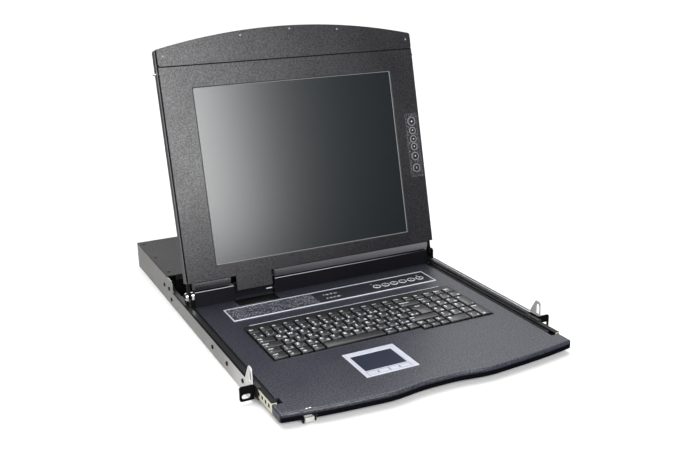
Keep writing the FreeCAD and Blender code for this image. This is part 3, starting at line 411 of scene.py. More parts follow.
CAD_MATERIALS = {
    # front_bulkhead is painted black as painted shade inside the chassis
    "chassis_pan": "zinc", "rear_panel": "black", "front_bulkhead": "black", "slide_ends": "plug",
    "top_cover": "cover", "side_plates": "zinc", "rack_ears": "black", "slides_outer": "slide",
    "slides_middle": "slide", "switch_board": "board", "power_supply": "zinc",
    "power_inlet": "plug", "chassis_screws": "black", "rear_ports": "bright",
    "tray_deck": "deck", "tray_bottom": "zinc", "slides_inner": "yellow",
    "keyboard_base": "well", "switch_panel": "film", "switch_panel_trim": "silver",
    "touchpad_frame": "dull", "touchpad_pad": "pad", "latch_bracket": "black",
    "front_latch": "satin", "hinge_covers": "housing", "hinge_bases": "black",
    "hinge_lugs": "lug", "hinge_pins": "black", "touchpad_button_left": "dull",
    "touchpad_button_right": "dull", "lid_shell": "shell", "lid_spine": "spine",
    "lid_bezel": "lid", "lid_top_trim": "lid", "lid_screws": "bright", "screen_glass": "screen",
    "screen_module": "zinc", "screen_board": "board", "screen_controls": "speckle",
    "hinge_arms": "black", "lid_pin_left": "bright", "lid_pin_right": "bright",
}


def dress_frame():
    """Give every CAD node its material."""
    for name, node in NODES.items():
        kind = CAD_MATERIALS.get(name)
        if kind is None:
            kind = "key" if name.startswith("keys_") else "button"
        if not node.data.materials:
            node.data.materials.append(MATERIALS[kind])
        for slot in node.material_slots:
            slot.material = MATERIALS[kind]


# ---- mesh helpers ------------------------------------------------------------------------
def add_piece(name, mesh, material, body, place=None, smooth=True, replaces=()):
    """Finish a bmesh as an object that rides on a body."""
    bmesh.ops.recalc_face_normals(mesh, faces=mesh.faces)
    data = bpy.data.meshes.new(name)
    mesh.to_mesh(data)
    mesh.free()
    if place is not None:
        data.transform(place)
    data.materials.append(MATERIALS[material])
    if smooth:
        data.set_sharp_from_angle(angle=math.radians(35))
        data.polygons.foreach_set("use_smooth", [True] * len(data.polygons))
    piece = bpy.data.objects.new(name, data)
    bpy.context.scene.collection.objects.link(piece)
    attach(piece, body)
    if replaces:
        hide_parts(*replaces)
    return piece


def loft(mesh, loops, closed=False):
    """Skin through loops of equal length; capped at both ends unless closed on itself."""
    rings = [[mesh.verts.new(point) for point in loop] for loop in loops]
    pairs = list(zip(rings, rings[1:]))
    if closed:
        pairs.append((rings[-1], rings[0]))
    for lower, upper in pairs:
        count = len(lower)
        for i in range(count):
            j = (i + 1) % count
            mesh.faces.new((lower[i], lower[j], upper[j], upper[i]))
    if not closed:
        mesh.faces.new(list(reversed(rings[0])))
        mesh.faces.new(rings[-1])


def rounded_loop(x0, x1, y0, y1, radius, z, steps=4):
    """Rounded rectangle as a closed loop of points."""
    points = []
    centres = ((x1 - radius, y1 - radius, 0), (x0 + radius, y1 - radius, 1),
               (x0 + radius, y0 + radius, 2), (x1 - radius, y0 + radius, 3))
    for cx, cy, quarter in centres:
        for step in range(steps + 1):
            angle = math.pi / 2 * (quarter + step / steps)
            points.append((cx + radius * math.cos(angle), cy + radius * math.sin(angle), z))
    return points


def round_loop(x, y, radius, z, steps=32):
    """Circle as a closed loop of points."""
    return [(x + radius * math.cos(2 * math.pi * i / steps),
             y + radius * math.sin(2 * math.pi * i / steps), z) for i in range(steps)]


def bar(mesh, x0, x1, y0, y1, z0, z1, corner=0.3, edge=0.15):
    """Flat bar with rounded corners and a softened top edge."""
    corner = min(corner, (x1 - x0) / 2.01, (y1 - y0) / 2.01)
    inner = max(corner - edge, 0.01)
    loft(mesh, [rounded_loop(x0, x1, y0, y1, corner, z0),
                rounded_loop(x0, x1, y0, y1, corner, z1 - edge),
                rounded_loop(x0 + edge, x1 - edge, y0 + edge, y1 - edge, inner, z1)])


def add_bars(name, boxes, material, body, place, corner=0.3, edge=0.15):
    """Piece made of flat bars, each with its limits (x0, x1, y0, y1, z0, z1)."""
    mesh = bmesh.new()
    for box in boxes:
        bar(mesh, *box, corner, edge)
    return add_piece(name, mesh, material, body, place)


def frame_bar(mesh, x0, x1, y0, y1, width, z0, z1, corner):
    """Rectangular rim with a softened top."""
    soft = min(width * 0.3, (z1 - z0) * 0.6)
    inner = max(corner - width, 0.05)
    loops = [rounded_loop(x0, x1, y0, y1, corner, z0, 6),
             rounded_loop(x0, x1, y0, y1, corner, z1 - soft, 6),
             rounded_loop(x0 + soft, x1 - soft, y0 + soft, y1 - soft, max(corner - soft, 0.05), z1, 6),
             rounded_loop(x0 + width - soft, x1 - width + soft, y0 + width - soft,
                          y1 - width + soft, inner + soft, z1, 6),
             rounded_loop(x0 + width, x1 - width, y0 + width, y1 - width, inner, z1 - soft, 6),
             rounded_loop(x0 + width, x1 - width, y0 + width, y1 - width, inner, z0, 6)]
    loft(mesh, loops, closed=True)


def ring(mesh, x, y, outer, width, z0, z1):
    """Raised round rim."""
    soft = width * 0.3
    loops = [round_loop(x, y, outer, z0), round_loop(x, y, outer, z1 - soft),
             round_loop(x, y, outer - soft, z1), round_loop(x, y, outer - width + soft, z1),
             round_loop(x, y, outer - width, z1 - soft), round_loop(x, y, outer - width, z0)]
    loft(mesh, loops, closed=True)


def cap(mesh, x, y, radius, z0, z1, edge=0.4, dish=0.15):
    """Round button cap with a soft edge and a slightly dished top."""
    loft(mesh, [round_loop(x, y, radius, z0), round_loop(x, y, radius, z1 - edge),
                round_loop(x, y, radius - edge * 0.3, z1 - edge * 0.3),
                round_loop(x, y, radius - edge, z1), round_loop(x, y, radius * 0.55, z1 - dish * 0.7),
                round_loop(x, y, radius * 0.2, z1 - dish)])


def screw(mesh, x, y, radius, z0, z1):
    """Pan-head screw with a cross recess."""
    arm, wide, deep = radius * 0.55, radius * 0.16, (z1 - z0) * 0.6
    outline = []
    for quarter in range(4):
        turn = Matrix.Rotation(quarter * math.pi / 2, 2)
        for px, py in ((arm, -wide), (arm, wide), (wide, wide)):
            point = turn @ Vector((px, py))
            outline.append((x + point.x, y + point.y))
    angles = [math.atan2(py - y, px - x) for px, py in outline]

    def about(distance, z):
        return [(x + distance * math.cos(a), y + distance * math.sin(a), z) for a in angles]

    rim = [about(radius, z0), about(radius, z0 + (z1 - z0) * 0.35), about(radius * 0.82, z1 - 0.05),
           about(radius * 0.66, z1)]
    recess = [[(px, py, z1) for px, py in outline], [(px, py, z1 - deep) for px, py in outline]]
    loft(mesh, rim + recess)


STROKE = 0.030              # extra thickness of printed strokes, of the letter size


def write_text(words, material, name, body, place):
    """Flat raised lettering; each word is (text, size, x, y, z) in millimetres."""
    drawn = []
    for text, size, x, y, z in words:
        curve = bpy.data.curves.new("glyph", "FONT")
        curve.body = text
        curve.size = size
        curve.align_x = "CENTER"
        curve.align_y = "CENTER"
        curve.resolution_u = 3
        curve.extrude = 0.02
        curve.offset = STROKE * size
        letter = bpy.data.objects.new("glyph", curve)
        letter.location = (x, y, z)
        bpy.context.scene.collection.objects.link(letter)
        drawn.append(letter)
    bpy.context.view_layer.update()
    depsgraph = bpy.context.evaluated_depsgraph_get()
    mesh = bmesh.new()
    for letter in drawn:
        data = bpy.data.meshes.new_from_object(letter.evaluated_get(depsgraph))
        data.transform(letter.matrix_world)
        mesh.from_mesh(data)
        bpy.data.meshes.remove(data)
        curve = letter.data
        bpy.data.objects.remove(letter)
        bpy.data.curves.remove(curve)
    return add_piece(name, mesh, material, body, place, smooth=False)


# ---- keyboard ----------------------------------------------------------------------------
# How far in, how high and how round each section of a key cap is, from its skirt to its top.
KEY_SECTIONS = ((0.0, KEY_LOW, 0.8), (0.15, 18.6, 0.9), (0.55, 20.3, 1.2), (0.95, 21.05, 1.4),
                (1.5, KEY_TOP, 1.5))


def key_loops(x0, x1, d0, d1):
    """Sections of one key cap."""
    loops = []
    for inset, z, corner in KEY_SECTIONS:
        inset += KEY_GAP
        loops.append(rounded_loop(x0 + inset, x1 - inset, d0 + inset, d1 - inset, corner, z, 3))
    return loops


def enter_loops(x_wide, x_tall, x1, d0, d_step, d1):
    """Sections of the stepped enter key."""
    loops = []
    for inset, z, _ in KEY_SECTIONS:
        inset += KEY_GAP
        loops.append([(x1 - inset, d1 - inset, z), (x_wide + inset, d1 - inset, z),
                      (x_wide + inset, d_step + inset, z), (x_tall + inset, d_step + inset, z),
                      (x_tall + inset, d0 + inset, z), (x1 - inset, d0 + inset, z)])
    return loops


def spaced(labels, x, d0, d1, pitch):
    """Keys in a row; a label is a text, or (text, width in pitches)."""
    keys = []
    for label in labels:
        text, units = label if isinstance(label, tuple) else (label, 1)
        keys.append((text, x, x + units * pitch, d0, d1))
        x += units * pitch
    return keys


PAD_X = KEYS_X + 15 * KEY_PITCH
PAD_PITCH = (ROWS_D + 5 * ROW_PITCH - CLUSTER_D) / 5


def keyboard_rows():
    """Label and outline of every key, by CAD node."""
    def main(row, labels):
        front = ROWS_D + row * ROW_PITCH
        return spaced(labels, KEYS_X, front, front + ROW_PITCH, KEY_PITCH)

    def pad(row, labels, x=PAD_X, rows=1):
        front = CLUSTER_D + row * PAD_PITCH
        return spaced(labels, x, front, front + rows * PAD_PITCH, KEY_PITCH)

    tall_x = PAD_X + 3 * KEY_PITCH
    space = (CLUSTER_X - KEYS_X) / KEY_PITCH - 7.25
    rear = ROWS_D + ROW_PITCH
    middle = (CLUSTER_D + rear) / 2
    small = (PAD_X - CLUSTER_X) / 3
    top = ROWS_D + 5 * ROW_PITCH
    return {
        "keys_bottom": main(0, [("Ctrl", 1.25), "Fn", "<>", "Alt", ("", space), "Alt Gr", "=", "Ctrl"])
        + spaced(["<", "v", ">"], CLUSTER_X, CLUSTER_D, middle, small)
        + spaced(["Home", "^", "End"], CLUSTER_X, middle, rear, small)
        + pad(0, [("0", 2), "."]) + pad(0, ["Enter"], tall_x, 2),
        "keys_lower": main(1, [("Shift", 1.25)] + list("\\ZXCVBNM,./") + [("Shift", 2.75)])
        + pad(1, list("123")),
        "keys_home": main(2, [("Caps", 1.75)] + list("ASDFGHJKL;'#"))
        + pad(2, list("456")) + pad(2, ["+"], tall_x, 2),
        "keys_upper": main(3, [("Tab", 1.5)] + list("QWERTYUIOP[]")) + pad(3, list("789")),
        "keys_number": main(4, list("`1234567890-=") + [("Backspace", 2)])
        + pad(4, ["Num", "/", "*", "-"]),
        "keys_function": spaced(["Esc"] + ["F%d" % n for n in range(1, 13)]
                                + ["PrtSc", "Del", "Ins", "Pause", "PgUp", "PgDn"],
                                KEYS_X, top, top + FUNCTION_DEPTH, KEY_PITCH),
    }


NARROW_KEY = 17.0
SHIFTED = {"1": "!", "2": '"', "3": "3", "4": "$", "5": "%", "6": "&", "7": "/", "8": "(",
           "9": ")", "0": "=", "-": "_", "=": "+", ",": "<", ".": ">", "/": "?", ";": ":",
           "'": "@", "#": "~", "[": "{", "]": "}", "\\": "|", "`": "^"}


def legend_words(keys):
    """Main legends on one row's key tops."""
    words = []
    z = KEY_TOP + PRINT_LIFT
    for text, x0, x1, d0, d1 in keys:
        small = x1 - x0 < NARROW_KEY
        if len(text) > 1:
            size = 4.4 if len(text) < 5 else 3.9
            if small:
                size = 3.3
            words.append((text, size, x0 + 2.6 + 0.27 * size * len(text), d1 - 5.2, z))
        elif text.isalpha() or x0 >= PAD_X or small:
            words.append((text, 5.0 if small else 7.4, x0 + (4.8 if small else 6.2), d1 - 6.6, z))
        elif text:
            words.append((text, 5.6, x0 + 5.4, d0 + 5.8, z))
            words.append((SHIFTED[text], 5.2, x0 + 5.4, d1 - 5.0, z))
    return words


def extra_words(row, keys):
    """Second functions, printed small at the right of the key tops."""
    words = []
    z = KEY_TOP + PRINT_LIFT
    for i, (text, x0, x1, d0, _) in enumerate(keys):
        sign = "*+=#%$@"[(i * 3 + row) % 7]
        if len(text) == 1 and x1 - x0 > NARROW_KEY:
            words.append((sign, 4.8, x1 - 5.2, d0 + 5.4, z))
        elif len(text) > 1 and row < 5:
            words.append((sign, 4.6, x0 + 6.0, d0 + 5.4, z))
    return words


def build_keyboard():
    """Key caps and legends, row by row."""
    for row, (node, keys) in enumerate(keyboard_rows().items()):
        mesh = bmesh.new()
        for _, x0, x1, d0, d1 in keys:
            loft(mesh, key_loops(x0, x1, d0, d1))
        if node == "keys_home":
            upper = ROWS_D + 3 * ROW_PITCH
            loft(mesh, enter_loops(PAD_X - 1.5 * KEY_PITCH, PAD_X - 1.25 * KEY_PITCH, PAD_X,
                                   upper - ROW_PITCH, upper, upper + ROW_PITCH))
        add_piece("caps_" + node[5:], mesh, "key", node, ON_DECK, replaces=(node,))
        words = legend_words(keys)
        if node == "keys_home":
            words.append(("Enter", 4.0, PAD_X - 0.72 * KEY_PITCH, ROWS_D + 3.6 * ROW_PITCH,
                          KEY_TOP + PRINT_LIFT))
        write_text(words, "white_ink", "legends_" + node[5:], node, ON_DECK)
        words = extra_words(row, keys)
        if words:
            write_text(words, "pale_ink", "marks_" + node[5:], node, ON_DECK)


# Limits in x, depth and height of the painted highlight line behind the keys and of the lines in front of
# them.
REAR_HIGHLIGHT = (-159.0, 167.0, 183.3, 184.1, 18.6, 19.3)
FRONT_LINES = (
    (-168.0, CLUSTER_X - 3.0, 56.4, 57.0, DECK_Z - 0.3, DECK_Z + 0.2),
    (CLUSTER_X + 2.0, 178.0, 48.2, 48.8, DECK_Z - 0.3, DECK_Z + 0.2),
)


def build_keyboard_surround():
    """Painted highlight as a bright line along the rear of the keyboard, and the raised edge of its
    opening in front.
    """
    add_bars("keyboard_rear_highlight", [REAR_HIGHLIGHT], "silver", "drawer", ON_DECK)
    add_bars("keyboard_front_line", FRONT_LINES, "deck", "drawer", ON_DECK, 0.25, 0.1)


# ---- tray controls -----------------------------------------------------------------------
SWITCH_BUTTONS = [(79.0 + 16.0 * i, 230.5) for i in range(6)]
SWITCH_SIGNS = ("<", ">", "+", "-", "=", "o")
STRIP_LIGHTS = ((74.6, 243.0), (160.5, 243.0))
PORTS = [(-13.0 + 6.6 * (i % 4), 238.2 - 14.6 * (i // 4)) for i in range(8)]
PORT_LIGHT_OFFSET = 3.4
DISPLAY_WINDOW = (-170.6, -30.0, 210.6, 253.0, PANEL_Z + 0.05, PANEL_Z + 0.18)


def build_switch_panel():
    """Ringed push buttons, port lights and numbers on the panel strip."""
    mesh = bmesh.new()
    for x, d in SWITCH_BUTTONS:
        ring(mesh, x, d, 6.8, 1.6, PANEL_Z, PANEL_Z + 0.7)
    add_piece("switch_button_rings", mesh, "silver", "drawer", ON_DECK)
    for i, (x, d) in enumerate(SWITCH_BUTTONS):
        name = "switch_button_%d" % (i + 1)
        mesh = bmesh.new()
        cap(mesh, x, d, 4.6, 16.4, 20.3)
        add_piece(name + "_cap", mesh, "button", name, ON_DECK, replaces=(name,))
        write_text([(SWITCH_SIGNS[i], 4.6, x, d + 0.3, 20.22)], "white_ink", name + "_sign", name,
                   ON_DECK)
    numbers = [(str(i + 1), 5.6, x, d, 19.53) for i, (x, d) in enumerate(PORTS)]
    write_text(numbers, "white_ink", "port_numbers", "drawer", ON_DECK)
    mesh = bmesh.new()
    for x, d in STRIP_LIGHTS:
        cap(mesh, x, d, 1.1, PANEL_Z, PANEL_Z + 0.35, 0.15, 0.0)
    for x, d in PORTS:
        cap(mesh, x + PORT_LIGHT_OFFSET, d, 0.8, PANEL_Z, PANEL_Z + 0.3, 0.1, 0.0)
    add_piece("panel_lights", mesh, "clear", "drawer", ON_DECK)
    add_bars("display_window", [DISPLAY_WINDOW], "window", "drawer", ON_DECK, 1.5, 0.05)


PAD_BAR = (-82.6, -8.0, 21.2, 28.4, 19.6, 19.85)
PAD_BUTTONS = (("left", -78.6, -47.1), ("right", -46.3, -14.8))
PAD_BUTTON_D = (-39.9, -29.1)
GRIP_PITCH, GRIP_WIDTH, GRIP_LENGTH = 1.6, 0.7, 2.8


def build_touchpad():
    """Rims and top bar of the pad's frame, gaps round the click buttons and their grip marks."""
    mesh = bmesh.new()
    frame_bar(mesh, *PAD_OPENING, 0.5, 19.2, 19.8, 1.0)
    add_piece("touchpad_inner_rim", mesh, "silver", "drawer", ON_DECK)
    mesh = bmesh.new()
    frame_bar(mesh, *PAD_FRAME, 0.9, 19.6, 19.98, 0.6)
    add_piece("touchpad_outer_rim", mesh, "silver", "drawer", ON_DECK)
    add_bars("touchpad_top_bar", [PAD_BAR], "silver", "drawer", ON_DECK, 0.5, 0.1)
    mesh = bmesh.new()
    for _, x0, x1 in PAD_BUTTONS:
        frame_bar(mesh, x0, x1, *PAD_BUTTON_D, 0.5, 19.5, 19.92, 0.3)
    add_piece("touchpad_button_gaps", mesh, "pad", "drawer", ON_DECK)
    for (side, _, _), x in zip(PAD_BUTTONS, (-63.0, -31.5)):
        grips = []
        for k in range(3):
            d = -36.6 + GRIP_PITCH * k
            grips.append((x - GRIP_LENGTH / 2, x + GRIP_LENGTH / 2, d, d + GRIP_WIDTH, 19.7, 20.0))
        add_bars("touchpad_mark_" + side, grips, "pad", "touchpad_button_" + side,
                 ON_DECK, 0.3, 0.1)


# Limits in x, depth and height.
# black patch laid flat on the deck below the tongue, painted shade
TONGUE_SHADE_PATCH = (-145.0, -77.5, 262.0, 286.0, DECK_Z - 0.1, DECK_Z + 0.08)
CABLE_CLIP = (-86.5, -76.5, 295.9, 296.6, 24.4, 26.0)
LATCH_MARKS = [(x - 1.5, x + 1.5, -78.2, -76.8, DECK_Z, DECK_Z + 0.05) for x in (-184.4, -180.2)]


def build_deck_marks():
    """Black patch on the deck below the tongue as painted shade, the bright clip at it and two small
    marks over the latch.
    """
    add_bars("tongue_shade_patch", [TONGUE_SHADE_PATCH], "black", "drawer", ON_DECK, 0.5, 0.02)
    add_bars("cable_clip", [CABLE_CLIP], "silver", "drawer", ON_DECK, 0.3, 0.2)
    add_bars("latch_mark", LATCH_MARKS, "white_ink", "drawer", ON_DECK, 0.3, 0.02)


# ---- lid ---------------------------------------------------------------------------------
# Height and radius of each button on the screen's control strip, and the sign printed on it.
SCREEN_BUTTONS = ((205.7, 5.6), (190.0, 4.4), (176.0, 4.4), (163.0, 4.4), (146.6, 5.2), (126.7, 5.2))
SCREEN_SIGNS = ("o", "^", "v", "+", "=", "I")
SCREEN_MARKS = (198.0, 183.0, 169.5, 155.5, 137.0)
TRIM_SCREWS = ((-208.0, 343.0), (-83.0, 367.0), (0.0, 372.6), (83.0, 367.0), (208.0, 343.0))


def build_screen_rim():
    """Thin sloped bright rim inside the bezel's screen opening."""
    x0, x1, h0, h1 = SCREEN
    mesh = bmesh.new()
    loops = []
    for inset, out in ((0.0, -0.7), (0.0, -0.9), (0.75, -1.58), (0.75, -1.35)):
        loops.append(rounded_loop(x0 + inset, x1 - inset, h0 + inset, h1 - inset,
                                  max(1.2 - inset, 0.3), out, 4))
    loft(mesh, loops, closed=True)
    add_piece("screen_rim", mesh, "rim", "lid", ON_LID)


# strips of painted highlight along the top front edges of the hinge covers
COVER_HIGHLIGHTS = [(x0, x1, 286.15, 287.0, 43.3, 43.98) for x0, x1 in ((-207.0, -144.4), (-75.0, 207.0))]
SEAM_H = (326.2, 328.0)                     # dark seam between the bezel and the top trim


def build_cover_edges():
    """Painted highlights as bright strips that fade to the right along the hinge covers' front edges, and
    black gaps below and above the bezel.
    """
    add_bars("cover_edge_highlights", COVER_HIGHLIGHTS, "painted_edge_highlight", "drawer", ON_DECK, 0.2, 0.1)
    mesh = bmesh.new()
    for x0, x1 in ((-206.0, -150.0), (-75.0, 206.0)):
        bar(mesh, x0, x1, -1.1, -0.1, -0.5, 0.05, 0.2, 0.1)
    bar(mesh, -216.0, 216.0, *SEAM_H, -0.5, 0.08, 0.2, 0.05)
    add_piece("lid_gaps", mesh, "black", "lid", ON_LID)


def build_screen_controls():
    """Outline, rings, caps and signs of the screen's control strip."""
    x0, x1, h0, h1 = CONTROLS
    mesh = bmesh.new()
    frame_bar(mesh, x0 + 1.2, x1 - 1.2, h0 + 1.2, h1 - 1.2, 0.7, 0.45, 0.75, 4.0)
    add_piece("screen_controls_outline", mesh, "faint", "lid", ON_LID)
    mesh = bmesh.new()
    for h, radius in SCREEN_BUTTONS:
        ring(mesh, CONTROLS_X, h, radius + 1.9, 1.3, 0.4, 1.0)
    add_piece("screen_button_rings", mesh, "rim", "lid", ON_LID)
    for i, (h, radius) in enumerate(SCREEN_BUTTONS):
        name = "screen_button_%d" % (i + 1)
        mesh = bmesh.new()
        cap(mesh, CONTROLS_X, h, radius, -2.4, 1.25)
        add_piece(name + "_cap", mesh, "button", name, ON_LID, replaces=(name,))
        write_text([(SCREEN_SIGNS[i], 4.4, CONTROLS_X, h, 1.17)], "white_ink", name + "_sign", name,
                   ON_LID)
    marks = [(x0 + 3.0, x0 + 5.0, h - 0.5, h + 0.5, 0.45, 0.6) for h in SCREEN_MARKS]
    add_bars("screen_controls_marks", marks, "rim", "lid", ON_LID, 0.3, 0.05)


def build_trim_screws():
    """Cross-head screws of the lid's top trim."""
    mesh = bmesh.new()
    for x, h in TRIM_SCREWS:
        screw(mesh, x, h, 1.6, 0.0, 0.45)
    add_piece("trim_screws", mesh, "rim", "lid", ON_LID, replaces=("lid_screws",))


LID_BACK_SCREWS = [(x, h) for x in (-205.0, 205.0) for h in (90.0, 245.0)]


def build_lid_back():
    """Cross-head screws on the rear of the lid."""
    backwards = Matrix.Rotation(-math.pi / 2, 4, "X")
    place = IN_LID @ backwards @ Matrix.Translation((0, 0, LID_DEPTH - 0.6))
    mesh = bmesh.new()
    for x, h in LID_BACK_SCREWS:
        screw(mesh, x, -h, 2.6, 0.0, 0.55)
    add_piece("lid_back_screws", mesh, "bright", "lid", place)


# ---- chassis details ---------------------------------------------------------------------
# Depth and height of the holes in the side plates.
PLATE_HOLES = ((32.6, 15.2), (93.7, 13.0), (154.2, 12.6), (358.6, 10.8), (368.9, 25.8), (396.5, 23.6))
# Limits of a side plate's upper edge and of the fixed slide's lip inside it, on the right side.
PLATE_X, PLATE_D, PLATE_Z = (223.4, 225.15), (23.6, 349.6), (24.2, 25.15)
LIP_X, LIP_D, LIP_Z = (221.8, 223.3), (21.2, 379.0), (23.95, 24.12)
# size and reach of the black discs that paint the shade inside the plate holes
HOLE_SHADE_RADIUS, HOLE_SHADE_X = 3.1, (223.6, 226.2)
SEAM_TOP = 20.9                             # top of the upright edges beside the deck
SLIDE_LOW, SLIDE_FRONT = 8.5, -50.4
SIDES = (("left", -1.0), ("right", 1.0))


def build_plate_edges():
    """Black upper edges of the side plates, the left fixed slide's lip in black as painted shade, and the
    polished lip of the right fixed slide.
    """
    (inner, outer), (lip0, lip1) = PLATE_X, LIP_X
    edges = [(x0, x1, *PLATE_D, *PLATE_Z) for x0, x1 in ((-outer, -inner), (inner, outer))]
    # painted shade: the left lip matches the polished right one but is painted black
    edges.append((-lip1, -lip0, *LIP_D, *LIP_Z))
    polished = [(lip0 + 0.2, lip1, *LIP_D, *LIP_Z)]
    add_bars("plate_edges_and_shaded_lip", edges, "black", "chassis", ON_DECK, 0.2, 0.05)
    add_bars("slide_lips", polished, "silver", "chassis", ON_DECK, 0.2, 0.05)


def build_deck_seams():
    """Black strips on both side edges of the deck, painted shade of the gaps there, with the tray's
    upright edges beside them in black.
    """
    mesh = bmesh.new()
    # painted shade: flat black strips on the deck's side edges and black upright edges beside them
    for x0, x1, x2, x3 in ((205.0, 211.1, 211.1, 211.95), (-211.1, -208.6, -211.95, -211.1)):
        bar(mesh, x0, x1, -35.0, 284.0, DECK_Z, DECK_Z + 0.25, 0.4, 0.1)
        bar(mesh, x2, x3, -36.0, 284.0, DECK_Z, SEAM_TOP, 0.2, 0.1)
        bar(mesh, x2, x3, SLIDE_FRONT, -36.2, SLIDE_LOW, SEAM_TOP, 0.2, 0.1)
    add_piece("deck_gap_shade", mesh, "black", "drawer", ON_DECK)


def build_slide_faces():
    """Zinc faces of the drawer's slide members and the dark marks at their front ends."""
    faces, marks = bmesh.new(), bmesh.new()
    for x0, x1, out in ((-218.85, -218.25, -219.0), (218.25, 218.85, 218.85)):
        bar(faces, x0, x1, SLIDE_FRONT, 337.0, SLIDE_LOW, 19.5, 0.1, 0.05)
        for d in (-44.0, -33.0, -22.0, -11.0):
            bar(marks, out, out + 0.15, d, d + 5.0, 11.5, 16.5, 0.05, 0.02)
    add_piece("slide_faces", faces, "yellow", "drawer", ON_DECK)
    add_piece("slide_marks", marks, "black", "drawer", ON_DECK)


def build_plate_hole_shades():
    """Black domed discs in the holes of the side plates, painted shade inside the holes."""
    for side, sign in SIDES:
        outward = Matrix.Rotation(sign * math.pi / 2, 4, "Y")
        mesh = bmesh.new()
        for d, z in PLATE_HOLES:
            cap(mesh, -sign * z, d, HOLE_SHADE_RADIUS, *HOLE_SHADE_X, 0.3, 0.0)
        add_piece("plate_hole_shades_" + side, mesh, "black", "chassis", ON_DECK @ outward)


COVER_SCREWS = [(x, d) for d in (396.0, 476.0, 556.0) for x in (-217.0, 217.0)]


def build_cover_screws():
    """Cross-head screws sunk into the top cover."""
    mesh = bmesh.new()
    for x, d in COVER_SCREWS:
        screw(mesh, x, d, 3.05, 43.3, 43.95)
    add_piece("cover_screws", mesh, "black", "chassis", ON_DECK,
              replaces=("chassis_screws",))


PORT_D, PORT_Z = 569.5, 15.0                # plane and height of the computer ports
PORT_X, PORT_STEP = -186.0, 34.0


def build_ports():
    """Port shells with blue inserts, contact holes and jack posts, seen from the rear."""
    upright = Matrix.Rotation(math.pi / 2, 4, "X") @ Matrix.Scale(-1, 4, (0, 0, 1))
    place = ON_DECK @ Matrix.Translation((0, PORT_D, 0)) @ upright
    shells, inserts, holes = bmesh.new(), bmesh.new(), bmesh.new()
    for i in range(len(PORTS)):
        x, z = PORT_X + PORT_STEP * i, PORT_Z
        bar(shells, x - 15.0, x + 15.0, z - 6.2, z + 6.2, 0.0, 0.8, 1.5, 0.2)
        frame_bar(shells, x - 8.2, x + 8.2, z - 4.2, z + 4.2, 0.5, 0.7, 2.3, 2.0)
        for post in (-12.3, 12.3):
            ring(shells, x + post, z, 2.2, 1.2, 0.7, 2.0)
        bar(inserts, x - 7.6, x + 7.6, z - 3.6, z + 3.6, 0.7, 2.0, 1.6, 0.2)
        for row in range(3):
            for column in range(5):
                hx = x - 4.6 + 2.3 * column + (0.6 if row == 1 else 0.0)
                bar(holes, hx - 0.4, hx + 0.4, z - 2.3 + 2.0 * row, z - 1.5 + 2.0 * row, 1.9, 2.03,
                    0.38, 0.01)
    add_piece("port_shells", shells, "bright", "chassis", place,
              replaces=("rear_ports",))
    add_piece("port_inserts", inserts, "blue", "chassis", place)
    add_piece("port_contacts", holes, "plug", "chassis", place)


# ---- studio ------------------------------------------------------------------------------
CAMERA_PLACE = (-0.55998, -0.94655, 0.54475)    # from the middle of the rack ears' front plane
CAMERA_TURN, CAMERA_DOWN, CAMERA_ROLL = 25.855, 17.420, -1.121
LENS_MM = 47.273
SOFTBOX_PLACE, SOFTBOX_SIZE, SOFTBOX_POWER = (-0.50, -1.85, 0.92), (2.1, 1.16), 66.8
FLOOR_REACH, FLOOR_Z = 400.0, -0.0003


def add_camera():
    """Camera in front of the left corner, looking down onto the tray."""
    turn, down, roll = (math.radians(a) for a in (CAMERA_TURN, CAMERA_DOWN, CAMERA_ROLL))
    level = math.cos(down)
    forward = Vector((math.sin(turn) * level, math.cos(turn) * level, -math.sin(down)))
    right = forward.cross(Vector((0, 0, 1))).normalized()
    up = right.cross(forward)
    side = right * math.cos(roll) + up * math.sin(roll)
    top = up * math.cos(roll) - right * math.sin(roll)
    data = bpy.data.cameras.new("camera")
    data.lens = LENS_MM
    data.sensor_width = 36.0
    data.clip_end = 50.0
    camera = bpy.data.objects.new("camera", data)
    place = Vector(CAMERA_PLACE) + Vector((0.0, EAR_Y, 0.0))
    camera.matrix_world = Matrix((
        (side.x, top.x, -forward.x, place.x),
        (side.y, top.y, -forward.y, place.y),
        (side.z, top.z, -forward.z, place.z),
        (0.0, 0.0, 0.0, 1.0)))
    bpy.context.scene.collection.objects.link(camera)
    bpy.context.scene.camera = camera


def add_softbox():
    """Upright rectangular light in front of the object, facing back."""
    data = bpy.data.lights.new("screen_softbox", "AREA")
    data.shape = "RECTANGLE"
    data.size, data.size_y = SOFTBOX_SIZE
    data.energy = SOFTBOX_POWER
    light = bpy.data.objects.new("screen_softbox", data)
    light.location = SOFTBOX_PLACE
    light.rotation_euler = Vector((0.0, 1.0, 0.0)).to_track_quat("-Z", "Y").to_euler()
    bpy.context.scene.collection.objects.link(light)


def add_floor():
    """Plain pale floor that reaches the horizon and isn't mirrored in the object."""
    mesh = bmesh.new()
    reach = FLOOR_REACH
    mesh.faces.new([mesh.verts.new((x, y, FLOOR_Z)) for x, y in
                    ((-reach, -reach), (reach, -reach), (reach, reach), (-reach, reach))])
    data = bpy.data.meshes.new("floor")
    mesh.to_mesh(data)
    mesh.free()
    shader = Shader("floor_paper", 0.8, 0.0, 0.0)
    soft = shader.noise(3.0, 2.0)
    shader.colour(shader.ramp(soft, 0.3, 0.7, (0.79, 0.79, 0.79), (0.82, 0.82, 0.82)))
    data.materials.append(shader.material)
    floor = bpy.data.objects.new("floor", data)
    floor.visible_glossy = False
    bpy.context.scene.collection.objects.link(floor)


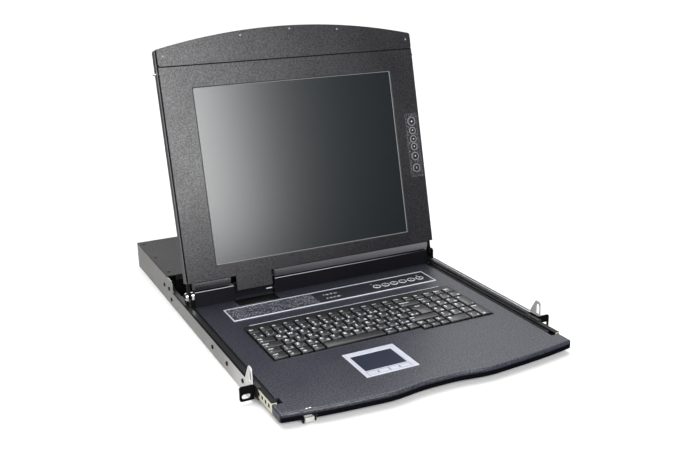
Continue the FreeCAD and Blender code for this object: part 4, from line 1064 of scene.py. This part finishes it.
# Soft regions of the sky round the object: direction, where it fades in, brightness.
SKY = (
    ((0.04, 0.47, 0.88), 0.72, 0.96, 4.3),      # overhead, to the rear
    ((0.50, 0.80, 0.35), 0.50, 0.95, 0.42),     # rear right
    ((-0.38, 0.74, -0.55), 0.91, 0.996, 0.80),  # floor at the rear left
    ((-0.95, 0.0, 0.30), 0.50, 0.95, 0.5),      # left wall
)
SKY_BASE = 0.05


def add_sky():
    """World light: a dim base with the soft bright regions of SKY."""
    world = bpy.data.worlds.new("studio")
    world.use_nodes = True
    tree = world.node_tree
    place = tree.nodes.new("ShaderNodeTexCoord").outputs["Generated"]
    total = None
    for direction, low, high, amount in SKY:
        dot = tree.nodes.new("ShaderNodeVectorMath")
        dot.operation = "DOT_PRODUCT"
        dot.inputs[1].default_value = Vector(direction).normalized()
        tree.links.new(place, dot.inputs[0])
        fade = tree.nodes.new("ShaderNodeMapRange")
        fade.interpolation_type = "SMOOTHSTEP"
        fade.inputs["From Min"].default_value = low
        fade.inputs["From Max"].default_value = high
        fade.inputs["To Max"].default_value = amount
        tree.links.new(dot.outputs["Value"], fade.inputs["Value"])
        add = tree.nodes.new("ShaderNodeMath")
        add.inputs[1].default_value = SKY_BASE
        tree.links.new(fade.outputs["Result"], add.inputs[0])
        if total is not None:
            tree.links.new(total, add.inputs[1])
        total = add.outputs["Value"]
    tree.links.new(total, tree.nodes["Background"].inputs["Strength"])
    tree.nodes["Background"].inputs["Color"].default_value = (1.0, 1.0, 1.0, 1.0)
    bpy.context.scene.world = world


def add_studio():
    """Light, floor and camera."""
    add_sky()
    bpy.context.scene.view_settings.view_transform = "Standard"
    add_softbox()
    add_floor()
    add_camera()


dress_frame()
build_keyboard()
build_keyboard_surround()
build_switch_panel()
build_touchpad()
build_deck_marks()
build_screen_rim()
build_cover_edges()
build_screen_controls()
build_trim_screws()
build_lid_back()
build_plate_edges()
build_deck_seams()
build_slide_faces()
build_plate_hole_shades()
build_cover_screws()
build_ports()
add_studio()
